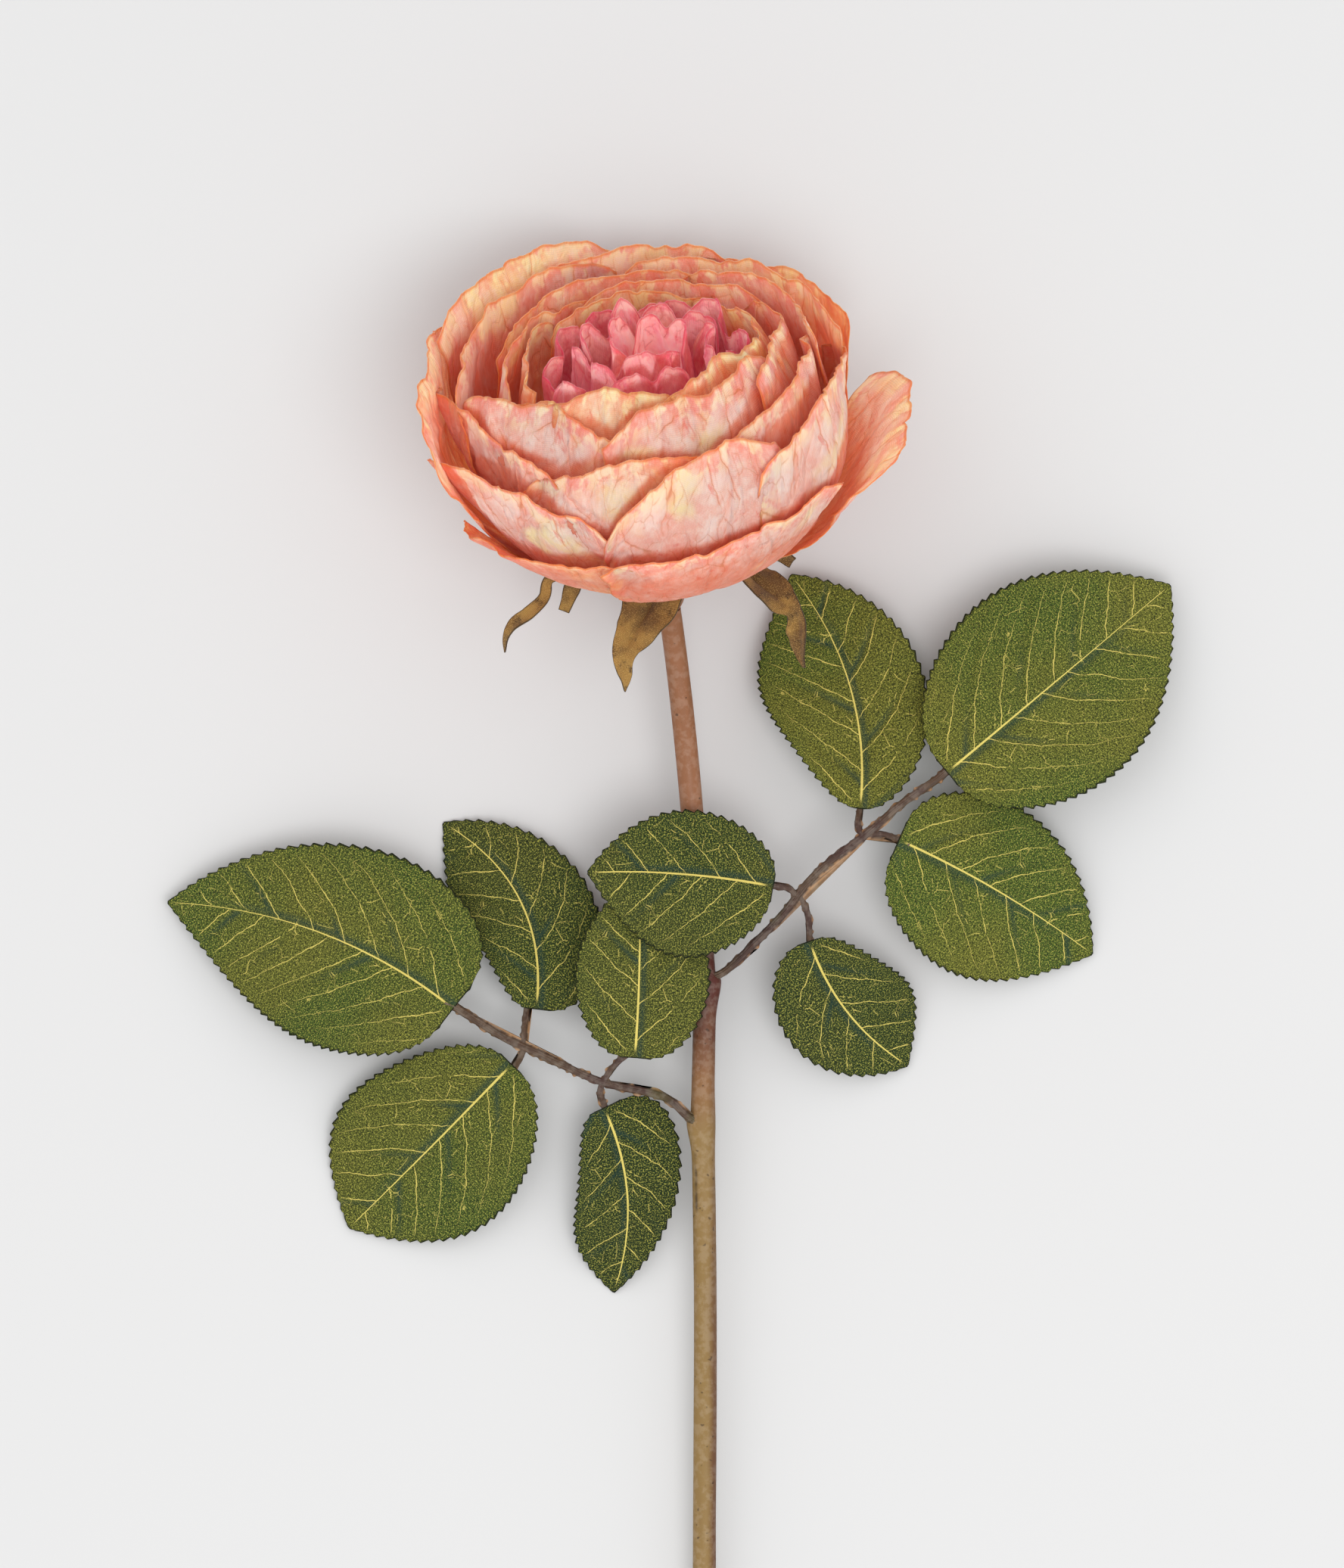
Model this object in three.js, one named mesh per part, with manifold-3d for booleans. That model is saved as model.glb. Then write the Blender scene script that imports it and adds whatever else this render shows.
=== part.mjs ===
// A cut rose made of fabric and moulded plastic, lying on its back on a table.
//
// Millimetres and degrees, +Z up. The stem runs along Y with the flower at the +Y end, and the
// origin is under the middle of the whole rose, on the surface that it lies on.
import * as THREE from 'three';
import { mergeVertices } from 'three/addons/utils/BufferGeometryUtils.js';
import Module from 'manifold-3d';

// ---------------------------------------------------------------- driving dimensions

const STEM_LENGTH = 371;        // cut end to the base of the flower, along Y
const STEM_RADIUS = 2.8;
const STALK_RADIUS = 0.9;       // main rib of a compound leaf
const PETIOLE_RADIUS = 0.7;     // short side stalk of a leaflet
const HEAD_RADIUS = 52;         // widest ring of petals
const HEAD_HEIGHT = 65;         // base of the flower to its rim, along its own axis
const HEAD_TILT = 28;           // flower's axis above the table
const HEAD_LEAN = 5;            // flower's axis turned to the left of the stem
const PETAL_THICKNESS = 0.5;
const LEAF_THICKNESS = 0.8;
const SEPAL_THICKNESS = 0.6;
const PEG_RADIUS = 3.4;         // core of the receptacle, which the petals are fixed round
const CLEARANCE = 0.3;          // left between pieces that touch

// ---------------------------------------------------------------- sizes that follow

const WIDEST = 0.62;                                   // height share of a ring's widest place
const WALL_TURN = 0.54;                                // turn of a ring's wall above that place
const FLOOR_STEP = 0.32;                               // rise of a ring's floor for 1 mm less radius
const OVERLAP_STEP = PETAL_THICKNESS + 3 * CLEARANCE;  // turn-in of one petal edge past its neighbour
const SEPAL_DROP = SEPAL_THICKNESS + 3 * CLEARANCE;
const CLAW_RADIUS = PEG_RADIUS + CLEARANCE + PETAL_THICKNESS;
const RECEPTACLE_LENGTH = 7;
const SHOULDER = -SEPAL_DROP - SEPAL_THICKNESS - CLEARANCE;  // seat of the sepals, below the flower

const COLOURS = {
  stem: 0x8d8a55,
  stalk: 0x6b4a3c,
  leaf: 0x47602b,
  sepal: 0x7a5f26,
  receptacle: 0x6f7440,
  peach: 0xeb9a83,
  cream: 0xf3bd93,
  pink: 0xc95a6c,
};

const radians = THREE.MathUtils.degToRad;
const vector = (x, y, z) => new THREE.Vector3(x, y, z);
const smooth = (x) => THREE.MathUtils.smoothstep(x, 0, 1);

// ---------------------------------------------------------------- geometry helpers

const manifold = await Module();
manifold.setup();

// A thin closed sheet: surface(u, v) gives its middle, with u and v from -1 to 1 and 0 to 1.
function sheet(surface, across, along, thickness) {
  const geometry = new THREE.BoxGeometry(1, 1, 1, across, along, 1);
  const corners = geometry.attributes.position;
  const step = 1e-3;
  for (let i = 0; i < corners.count; i += 1) {
    const u = 2 * corners.getX(i);
    const v = corners.getY(i) + 0.5;
    const side = corners.getZ(i) * thickness;
    const uTangent = surface(u + step, v).sub(surface(u - step, v));
    const vTangent = surface(u, v + step).sub(surface(u, v - step));
    const normal = uTangent.cross(vTangent).normalize();
    const point = surface(u, v).addScaledVector(normal, side);
    corners.setXYZ(i, point.x, point.y, point.z);
  }
  geometry.computeVertexNormals();
  return geometry;
}

function tube(points, radius, sides, steps) {
  const section = new THREE.Shape();
  for (let i = 0; i < sides; i += 1) {
    const angle = (2 * Math.PI * i) / sides;
    const place = [radius * Math.cos(angle), radius * Math.sin(angle)];
    if (i === 0) section.moveTo(...place);
    else section.lineTo(...place);
  }
  section.closePath();
  const path = new THREE.CatmullRomCurve3(points);
  return new THREE.ExtrudeGeometry(section, { steps, bevelEnabled: false, extrudePath: path });
}

function toSolid(geometry) {
  const bare = new THREE.BufferGeometry();
  bare.setAttribute('position', geometry.attributes.position.clone());
  if (geometry.index) bare.setIndex(geometry.index.clone());
  const merged = mergeVertices(bare, 1e-3);
  return new manifold.Manifold(new manifold.Mesh({
    numProp: 3,
    vertProperties: new Float32Array(merged.attributes.position.array),
    triVerts: new Uint32Array(merged.index.array),
  }));
}

function joined(geometries) {
  const solid = geometries.map(toSolid).reduce((whole, piece) => whole.add(piece));
  const mesh = solid.getMesh();
  const geometry = new THREE.BufferGeometry();
  geometry.setAttribute('position', new THREE.BufferAttribute(mesh.vertProperties, 3));
  geometry.setIndex(new THREE.BufferAttribute(mesh.triVerts, 1));
  geometry.computeVertexNormals();
  return geometry;
}

const rose = new THREE.Group();

function add(name, geometry, colour, roughness) {
  const material = new THREE.MeshStandardMaterial({
    color: colour,
    roughness,
    metalness: 0,
    side: THREE.DoubleSide,
  });
  const mesh = new THREE.Mesh(geometry, material);
  mesh.name = name;
  rose.add(mesh);
}

// ---------------------------------------------------------------- the flower's own frame

const tilt = radians(HEAD_TILT);
const lean = radians(HEAD_LEAN);
const HEAD_AXIS = vector(-Math.sin(lean) * Math.cos(tilt), Math.cos(lean) * Math.cos(tilt), Math.sin(tilt));
const HEAD_RIGHT = vector(Math.cos(lean), Math.sin(lean), 0);
const HEAD_FRONT = HEAD_RIGHT.clone().cross(HEAD_AXIS);

// The section of a ring is a bowl, followed by its turn: a quarter ellipse from the middle of its
// floor to its widest place, then a wall that closes in by the share `close`.
function bowlHeight(turn) {
  if (turn < Math.PI / 2) return WIDEST * (1 - Math.cos(turn));
  return WIDEST + (1 - WIDEST) * (turn - Math.PI / 2) / WALL_TURN;
}

function bowlRadius(turn, close) {
  if (turn < Math.PI / 2) return Math.sin(turn);
  return 1 - close * ((turn - Math.PI / 2) / WALL_TURN) ** 2;
}

function bowlTurn(height) {
  if (height < WIDEST) return Math.acos(1 - height / WIDEST);
  return Math.PI / 2 + WALL_TURN * (height - WIDEST) / (1 - WIDEST);
}

// The back of the widest ring rests on the table, which sets how high the base of the flower is.
function baseHeight() {
  const reach = HEAD_RADIUS + OVERLAP_STEP + PETAL_THICKNESS;
  let lowest = 0;
  for (let turn = 0; turn <= Math.PI / 2; turn += 0.01) {
    const rise = bowlHeight(turn) * HEAD_HEIGHT * Math.sin(tilt);
    lowest = Math.min(lowest, rise - reach * bowlRadius(turn, 0) * Math.cos(tilt));
  }
  return -lowest;
}

const HEAD_BASE = vector(-0.6, 146.6, baseHeight());

// A point of the flower: height along its axis, radius, and angle from the front to the right.
function headPoint(height, radius, angle) {
  return HEAD_BASE.clone()
    .addScaledVector(HEAD_AXIS, height)
    .addScaledVector(HEAD_RIGHT, radius * Math.sin(angle))
    .addScaledVector(HEAD_FRONT, radius * Math.cos(angle));
}

// ---------------------------------------------------------------- petals

// Rings from the outside in, each with how far it is set in from the widest and how much it closes.
// Each petal is [angle, half width, [height share of its rim at one side, middle, other side], flare].
const RINGS = [
  { name: 'outer', inset: 0, close: 0.06, colour: COLOURS.peach, petals: [
    [22, 42, [0.42, 0.45, 0.56], 0], [-47, 40, [0.38, 0.34, 0.43], 0],
    [-100, 30, [0.88, 0.88, 0.66], 5], [-144, 32, [1.00, 1.04, 0.98], 2],
    [88, 26, [0.58, 0.62, 0.64], 44], [145, 30, [0.86, 0.93, 0.96], 1],
    [183, 30, [0.97, 1.00, 0.98], 0]] },
  { name: 'second', inset: 5, close: 0.08, colour: COLOURS.peach, petals: [
    [-48, 44, [0.60, 0.60, 0.40], 1], [17, 38, [0.50, 0.82, 0.62], 0],
    [72, 40, [0.78, 0.84, 0.84], 1], [142, 44, [0.98, 1.00, 1.00], 0],
    [-128, 46, [0.99, 0.96, 0.84], 1]] },
  { name: 'third', inset: 10, close: 0.12, colour: COLOURS.peach, petals: [
    [-66, 40, [0.80, 0.74, 0.62], 0], [-14, 42, [0.60, 0.77, 0.76], 0],
    [56, 42, [0.78, 0.92, 0.98], 0], [130, 44, [0.98, 1.00, 0.98], 0],
    [-158, 46, [0.98, 0.98, 0.92], 0]] },
  { name: 'fourth', inset: 15, close: 0.16, colour: COLOURS.peach, petals: [
    [-46, 44, [0.84, 0.90, 0.76], 0], [24, 44, [0.90, 1.00, 1.00], 0],
    [92, 44, [1.00, 1.00, 0.98], 0], [164, 44, [0.98, 0.99, 0.98], 0],
    [-118, 44, [0.96, 0.93, 0.85], 0]] },
  { name: 'collar', inset: 19.5, close: 0.20, colour: COLOURS.cream, petals: [
    [-28, 44, [0.88, 0.97, 1.00], 0], [44, 44, [1.00, 1.03, 1.02], 0],
    [116, 44, [1.00, 0.98, 0.97], 0], [-172, 44, [0.96, 0.97, 0.96], 0],
    [-100, 44, [0.94, 0.93, 0.88], 0]] },
  { name: 'heart', inset: 27, close: 0.16, colour: COLOURS.pink, petals: [
    [-30, 44, [0.90, 0.94, 0.94], 0], [42, 44, [0.94, 0.95, 0.94], 0],
    [114, 44, [0.94, 0.96, 0.95], 0], [-174, 44, [0.95, 0.96, 0.95], 0],
    [-102, 44, [0.94, 0.94, 0.90], 0]] },
  { name: 'core', inset: 34.5, close: 0.12, colour: COLOURS.pink, petals: [
    [4, 44, [0.94, 0.96, 0.95], 0], [76, 44, [0.95, 0.97, 0.96], 0],
    [148, 44, [0.96, 0.98, 0.97], 0], [-140, 44, [0.96, 0.98, 0.96], 0],
    [-68, 44, [0.95, 0.96, 0.94], 0]] },
  { name: 'bud', inset: 42.2, close: 0.10, colour: COLOURS.pink, petals: [
    [20, 72, [0.96, 0.98, 0.96], 0], [140, 72, [0.97, 1.00, 0.97], 0],
    [-100, 72, [0.96, 0.99, 0.96], 0]] },
];

const RIM_DROP = 0.08;          // how far the corners of a petal's rim are rounded down
const CLAW_SHARE = 0.55;        // width of a petal's foot, as a share of its widest
const SPREAD_END = 0.62;        // how far up a petal it reaches its full width

function petalSurface(ring, [angle, halfWidth, [first, middle, last], flare]) {
  return (u, v) => {
    const radius = HEAD_RADIUS - ring.inset - OVERLAP_STEP * u;
    const floor = FLOOR_STEP * (HEAD_RADIUS - radius);
    const foot = Math.asin(Math.min(1, CLAW_RADIUS / radius));
    const rim = middle + (last - first) * u / 2 + ((first + last) / 2 - middle) * u ** 2;
    const top = bowlTurn(rim - RIM_DROP * Math.abs(u) ** 5);
    const turn = foot + (top - foot) * v;
    const height = bowlHeight(turn);
    const spread = CLAW_SHARE + (1 - CLAW_SHARE) * smooth(v / SPREAD_END);
    const opening = flare * Math.max(0, (height - 0.3) / 0.7) ** 2;
    return headPoint(
      floor + height * (HEAD_HEIGHT - floor),
      radius * bowlRadius(turn, ring.close) + opening,
      radians(angle + halfWidth * spread * u),
    );
  };
}

for (const ring of RINGS) {
  ring.petals.forEach((petal, index) => {
    const across = petal[1] > 60 ? 7 : 5;
    const geometry = sheet(petalSurface(ring, petal), across, 7, PETAL_THICKNESS);
    add(`petal_${ring.name}_${index + 1}`, geometry, ring.colour, 0.85);
  });
}

// ---------------------------------------------------------------- receptacle and sepals

// A turned cone under the flower, with a peg that the petals are threaded on.
function receptacle() {
  const collarRadius = CLAW_RADIUS + 0.6;
  const profile = [
    [0, SHOULDER - RECEPTACLE_LENGTH],
    [STEM_RADIUS, SHOULDER - RECEPTACLE_LENGTH],
    [collarRadius, SHOULDER - 2],
    [collarRadius, SHOULDER],
    [PEG_RADIUS, SHOULDER],
    [PEG_RADIUS, HEAD_HEIGHT * 0.35],
    [0, HEAD_HEIGHT * 0.35],
  ].map(([radius, height]) => new THREE.Vector2(radius, height));
  const geometry = new THREE.LatheGeometry(profile, 16);
  const frame = new THREE.Matrix4().makeBasis(HEAD_RIGHT, HEAD_AXIS, HEAD_FRONT);
  frame.setPosition(HEAD_BASE);
  geometry.applyMatrix4(frame);
  return geometry;
}
add('receptacle', receptacle(), COLOURS.receptacle, 0.7);

// Each sepal leaves the receptacle under the petals, then turns down: its angle, half width at the
// foot, reach outwards and drop along the flower's axis.
const SEPALS = [
  { angle: -64, halfWidth: 3.6, reach: 41, drop: 13, side: -2 },
  { angle: -112, halfWidth: 4, reach: 26, drop: 15, side: 0 },
  { angle: -8, halfWidth: 8, reach: 25, drop: 21, side: -6 },
  { angle: 46, halfWidth: 7, reach: 40, drop: 12, side: 4 },
  { angle: 104, halfWidth: 5, reach: 31, drop: 3, side: 0 },
];

const SEPAL_END_HALF_WIDTH = 0.6;

function sepalSurface({ angle, halfWidth, reach, drop, side }) {
  const under = -SEPAL_DROP;
  const foot = CLAW_RADIUS;
  return (u, v) => {
    const out = foot + (reach - foot) * v;
    const height = under - drop * v ** 2;
    const fullness = Math.sin(Math.PI * THREE.MathUtils.clamp(v, 0.002, 0.998) ** 1.1);
    const width = SEPAL_END_HALF_WIDTH + halfWidth * fullness;
    const turn = radians(angle);
    const sideways = side * v ** 2 + u * width;
    return headPoint(height, out, turn)
      .addScaledVector(HEAD_RIGHT, sideways * Math.cos(turn))
      .addScaledVector(HEAD_FRONT, -sideways * Math.sin(turn));
  };
}

SEPALS.forEach((sepal, index) => {
  add(`sepal_${index + 1}`, sheet(sepalSurface(sepal), 2, 6, SEPAL_THICKNESS), COLOURS.sepal, 0.85);
});

// ---------------------------------------------------------------- stem

const STEM_TOP_INSET = RECEPTACLE_LENGTH - SHOULDER + 2 * CLEARANCE;
const stemTop = headPoint(-STEM_TOP_INSET, 0, 0);
const CUT_END_Y = HEAD_BASE.y - STEM_LENGTH;
const LOWER_NODE = { y: 14, x: 8.3, z: 12 };
const UPPER_NODE = { y: 48, x: 8.4, z: 13.5 };

// The cut end lies on the table; the stem rises to the two leaf nodes and on to the flower.
const stemLine = [
  vector(8.6, CUT_END_Y, STEM_RADIUS + 0.1),
  vector(8.6, (CUT_END_Y + LOWER_NODE.y) / 2, (STEM_RADIUS + LOWER_NODE.z) / 2),
  vector(8.8, LOWER_NODE.y - 42, LOWER_NODE.z - 1.9),
  vector(LOWER_NODE.x, LOWER_NODE.y, LOWER_NODE.z),
  vector(UPPER_NODE.x, UPPER_NODE.y, UPPER_NODE.z),
  vector(5.6, 89, 15.5),
  stemTop.clone().addScaledVector(HEAD_AXIS, -14).lerp(vector(4.4, 116, 18), 0.3),
  stemTop,
];
add('stem', tube(stemLine, STEM_RADIUS, 12, 34), COLOURS.stem, 0.6);

// Heights of the leaflet that lies on the stem and of the one that lies on top of that leaflet.
const ON_STEM = UPPER_NODE.z + STEM_RADIUS + LEAF_THICKNESS / 2 + 5 * CLEARANCE;
const ON_LEAFLET = ON_STEM + LEAF_THICKNESS + 6 * CLEARANCE;

// ---------------------------------------------------------------- leaf stalks

const STALK_START = STEM_RADIUS + STALK_RADIUS + CLEARANCE;

const LEFT_STALK = {
  rib: [
    vector(LOWER_NODE.x - STALK_START, 15, LOWER_NODE.z + 0.5),
    vector(-0.5, 19.8, 13.6), vector(-16.5, 23.7, 14), vector(-29.2, 29.4, 13.6),
    vector(-40.3, 34.6, 13), vector(-50.3, 40.6, 12.6),
  ],
  petioles: [
    [vector(-15.9, 23.6, 14), vector(-14.6, 26, 15.4), vector(-12, 28.6, ON_STEM - 1)],
    [vector(-15.9, 23.6, 14), vector(-16.4, 21.2, 13), vector(-15.8, 18.8, 11.6)],
    [vector(-35.4, 32.4, 13.3), vector(-35, 36, 12), vector(-34.6, 40, 10.4)],
    [vector(-34.6, 32, 13.3), vector(-35.4, 29.8, 12), vector(-36.6, 27.6, 10.6)],
  ],
};

const RIGHT_STALK = {
  rib: [
    vector(UPPER_NODE.x + STALK_START, 49.4, UPPER_NODE.z + 0.5),
    vector(20.3, 56.6, 15.6), vector(27.7, 64.3, 17), vector(35.4, 73.7, 18.2),
    vector(48.5, 84.1, 18.6), vector(56.1, 90.6, 18.4), vector(66, 97.4, 18.2),
  ],
  petioles: [
    [vector(31, 68.2, 17.4), vector(29, 70.2, 19), vector(26.4, 70.6, ON_LEAFLET - 0.2)],
    [vector(31.4, 68.8, 17.4), vector(33.2, 64.4, 16), vector(33.9, 58.4, 14.6)],
    [vector(46.6, 82.8, 18.6), vector(45.6, 85.6, 17.4), vector(46, 88.4, 16)],
    [vector(47.2, 83.2, 18.6), vector(51, 83.4, 17.4), vector(54.6, 82.3, 16.2)],
  ],
};

function stalk({ rib, petioles }) {
  const branches = petioles.map((points) => tube(points, PETIOLE_RADIUS, 7, 5));
  return joined([tube(rib, STALK_RADIUS, 8, 20), ...branches]);
}
add('leaf_stalk_left', stalk(LEFT_STALK), COLOURS.stalk, 0.7);
add('leaf_stalk_right', stalk(RIGHT_STALK), COLOURS.stalk, 0.7);

// ---------------------------------------------------------------- leaflets

// A leaflet lies along its midrib from base to tip. bow moves the middle of the midrib to the left
// of that line, rise lifts it, left and right are its half widths. A smaller foot makes the base
// rounder, and a larger point keeps that side wide until nearer the tip.
const LEAFLETS = {
  left: [
    { base: [-8.8, 29.8, ON_STEM], tip: [-7.6, 74, ON_STEM], bow: -0.6, rise: 0.4,
      left: 14, right: 16.5, foot: 0.38, points: [2.5, 2.5] },
    { base: [-15.6, 17.4, 11], tip: [-13.3, -27.4, 0.6], bow: 4.6, rise: 2.4,
      left: 14, right: 12, foot: 0.35, points: [1.2, 5] },
    { base: [-33.8, 41.2, 9.9], tip: [-54, 86.4, 0.7], bow: -8, rise: 1.4,
      left: 14.5, right: 16, foot: 0.4, points: [3.5, 2] },
    { base: [-37.6, 26.8, 10], tip: [-77, -12, 0.7], bow: 0.4, rise: 2,
      left: 22.4, right: 21.8, foot: 0.4, points: [3, 3.5] },
    { base: [-51.9, 41.2, 12.6], tip: [-121, 66.8, 4], bow: -6, rise: 3.4,
      left: 25, right: 24.2, foot: 0.35, points: [2.4, 1.7] },
  ],
  right: [
    { base: [25.2, 70.7, ON_LEAFLET], tip: [-19.5, 74.1, ON_LEAFLET], bow: -1.3, rise: 1.8,
      left: 19.6, right: 15.2, foot: 0.4, points: [2.5, 2.5] },
    { base: [34, 57.6, 14.2], tip: [57.7, 27.4, 0.7], bow: -3.5, rise: 2.2,
      left: 15.4, right: 15.6, foot: 0.42, points: [4.5, 2.2] },
    { base: [46.1, 89.4, 15.6], tip: [29.5, 145.9, 5], bow: -6, rise: 0.5,
      left: 20.4, right: 17.6, foot: 0.42, points: [3.4, 2] },
    { base: [55.4, 82, 15.8], tip: [102.3, 54.3, 0.7], bow: 1.7, rise: 2,
      left: 19.6, right: 21.6, foot: 0.36, points: [2.4, 3] },
    { base: [67, 98.2, 18.4], tip: [121, 143.4, 6], bow: 0, rise: 3.6,
      left: 26, right: 26, foot: 0.4, points: [2.5, 2.5] },
  ],
};

const EDGE_DROOP = 0.05;        // fall of a leaflet's edge for 1 mm of width
const TIP_HALF_WIDTH = 0.5;

const leafOutline = (along, foot, point) => along ** foot * (1 - along ** point);
const widestPlace = (foot, point) => (foot / (foot + point)) ** (1 / point);

function leafletSurface({ base, tip, bow, rise, left, right, foot, points }) {
  const start = vector(...base);
  const end = vector(...tip);
  const run = end.clone().sub(start);
  const leftward = vector(-run.y, run.x, 0).normalize();
  const middle = start.clone().lerp(end, 0.5).addScaledVector(leftward, 2 * bow);
  middle.z += 2 * rise;
  const midrib = new THREE.QuadraticBezierCurve3(start, middle, end);
  return (u, v) => {
    const along = THREE.MathUtils.clamp(v, 0.002, 0.998);
    const point = u < 0 ? points[0] : points[1];
    const widest = leafOutline(widestPlace(foot, point), foot, point);
    const fullness = leafOutline(along, foot, point) / widest;
    const halfWidth = TIP_HALF_WIDTH + (u < 0 ? left : right) * fullness;
    const tangent = midrib.getTangent(along);
    const across = vector(tangent.y, -tangent.x, 0).normalize();
    const overhang = (v - along) * run.length();
    const place = midrib.getPoint(along).addScaledVector(tangent, overhang);
    place.addScaledVector(across, u * halfWidth);
    place.z -= EDGE_DROOP * halfWidth * u ** 2;
    return place;
  };
}

for (const [side, leaflets] of Object.entries(LEAFLETS)) {
  leaflets.forEach((leaflet, index) => {
    const geometry = sheet(leafletSurface(leaflet), 4, 6, LEAF_THICKNESS);
    add(`leaflet_${side}_${index + 1}`, geometry, COLOURS.leaf, 0.8);
  });
}

// ---------------------------------------------------------------- origin

const extent = new THREE.Box3().setFromObject(rose, true);
const centre = extent.getCenter(vector(0, 0, 0));
rose.position.set(-centre.x, -centre.y, -extent.min.z);

export default rose;
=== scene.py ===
import math

import bpy
import numpy as np
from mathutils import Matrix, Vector


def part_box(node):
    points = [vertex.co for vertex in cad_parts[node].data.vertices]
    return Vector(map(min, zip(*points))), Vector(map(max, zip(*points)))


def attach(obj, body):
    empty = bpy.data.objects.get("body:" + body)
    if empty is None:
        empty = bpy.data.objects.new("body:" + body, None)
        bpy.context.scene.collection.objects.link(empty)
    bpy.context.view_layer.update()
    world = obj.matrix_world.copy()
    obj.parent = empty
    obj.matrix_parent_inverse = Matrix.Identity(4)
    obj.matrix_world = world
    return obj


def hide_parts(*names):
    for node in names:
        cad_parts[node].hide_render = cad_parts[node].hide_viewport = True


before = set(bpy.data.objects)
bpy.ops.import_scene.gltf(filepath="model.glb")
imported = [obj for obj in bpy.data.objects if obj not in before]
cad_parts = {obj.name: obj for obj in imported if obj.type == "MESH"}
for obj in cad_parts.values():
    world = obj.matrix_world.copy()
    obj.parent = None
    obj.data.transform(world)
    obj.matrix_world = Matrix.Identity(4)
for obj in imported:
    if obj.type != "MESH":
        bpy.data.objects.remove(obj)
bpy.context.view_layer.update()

# ---------------------------------------------------------------- sizes

STEM_RADIUS = 2.8
STALK_RADIUS = 0.9
PETIOLE_RADIUS = 0.7
HEAD_RADIUS = 52.0
HEAD_HEIGHT = 65.0
PETAL_HEIGHT = 62.0     # of the cloth petals, whose ragged rims rise a little above it
PETAL_LIFT = 1.0
HEAD_TILT = math.radians(28)
HEAD_LEAN = math.radians(5)
CLAW_RADIUS = 4.2
WIDEST = 0.62           # height share of a ring's widest place
WALL_TURN = 0.54        # turn of a ring's wall above that place
FLOOR_STEP = 0.32       # rise of a ring's floor for 1 mm less radius
OVERLAP_STEP = 1.4      # turn-in of one petal edge past its neighbour
PETAL_THICKNESS = 0.3
LEAF_THICKNESS = 0.45
SEPAL_THICKNESS = 0.4
MM = 0.001

# The stem's own corners in the part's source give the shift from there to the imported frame.
STEM_HIGH_X, STEM_LOW_Y, STEM_LOW_Z = 11.621, -224.506, 0.102
stem_low, stem_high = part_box("stem")
SHIFT = np.array([
    stem_high[0] / MM - STEM_HIGH_X,
    stem_low[1] / MM - STEM_LOW_Y,
    stem_low[2] / MM - STEM_LOW_Z,
])

# ---------------------------------------------------------------- helpers


def smooth(x):
    x = np.clip(x, 0, 1)
    return x * x * (3 - 2 * x)


def noise(points, cell, seed):
    """Smooth random values from -1 to 1 at points (n, 3); one cell of the pattern is `cell` long."""
    points = np.asarray(points, float) / cell
    corner = np.floor(points).astype(np.int64)
    share = smooth(points - corner)
    values = np.random.default_rng(seed).uniform(-1, 1, 8192)
    total = 0
    for index in range(8):
        step = np.array([index & 1, index >> 1 & 1, index >> 2 & 1])
        weight = np.prod(np.where(step, share, 1 - share), axis=1)
        key = (corner + step) @ np.array([73856093, 19349663, 83492791])
        total = total + weight * values[key % 8192]
    return total


def flat_noise(x, y, cell, seed):
    return noise(np.stack([x, y, np.full_like(x, 0.37)], axis=1), cell, seed)


def ridges(x, y, cell, seed):
    """Sharp creases: 1 along the lines where the noise changes sign, 0 away from them."""
    return np.clip(1 - 3.2 * np.abs(flat_noise(x, y, cell, seed)), 0, 1) ** 2


def unit(vectors):
    return vectors / np.maximum(np.linalg.norm(vectors, axis=-1, keepdims=True), 1e-9)


def choose(*pieces):
    """Selects these pieces and nothing else; the first one is the active one."""
    bpy.ops.object.select_all(action="DESELECT")
    for piece in pieces:
        piece.select_set(True)
    if pieces:
        bpy.context.view_layer.objects.active = pieces[0]


def grid_piece(name, across, along):
    """A flat grid to be shaped; returns it with u from -1 to 1 and v from 0 to 1 of its points."""
    choose()
    bpy.ops.mesh.primitive_grid_add(x_subdivisions=across, y_subdivisions=along, size=2)
    piece = bpy.context.object
    piece.name = name
    piece.data.name = name
    places = np.empty(len(piece.data.vertices) * 3)
    piece.data.vertices.foreach_get("co", places)
    places = places.reshape(-1, 3)
    return piece, places[:, 0], (places[:, 1] + 1) / 2


def shape(piece, points, x, y):
    """Puts the piece's points in their places, all in millimetres, and lays out its cloth.

    The cloth's own flat coordinates x and y become texture coordinates in centimetres.
    """
    piece.data.vertices.foreach_set("co", ((points + SHIFT) * MM).ravel())
    piece.data.update()
    layer = piece.data.uv_layers.active
    corners = np.empty(len(piece.data.loops), dtype=np.int32)
    piece.data.loops.foreach_get("vertex_index", corners)
    flat = np.stack([x, y], axis=1) / 10
    layer.data.foreach_set("uv", flat[corners].ravel())


def mark(piece, name, values):
    layer = piece.data.attributes.new(name, "FLOAT", "POINT")
    layer.data.foreach_set("value", np.asarray(values, dtype=np.float32))


def thicken(piece, thickness):
    choose(piece)
    modifier = piece.modifiers.new("Solidify", "SOLIDIFY")
    modifier.thickness = thickness * MM
    modifier.offset = 0
    bpy.ops.object.modifier_apply(modifier=modifier.name)


def finish_piece(piece, node, material, smooth_angle=None):
    choose(piece)
    if smooth_angle is None:
        bpy.ops.object.shade_smooth()
    else:
        bpy.ops.object.shade_smooth_by_angle(angle=math.radians(smooth_angle))
    piece.data.materials.clear()
    piece.data.materials.append(material)
    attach(piece, "root")
    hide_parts(node)


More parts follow.
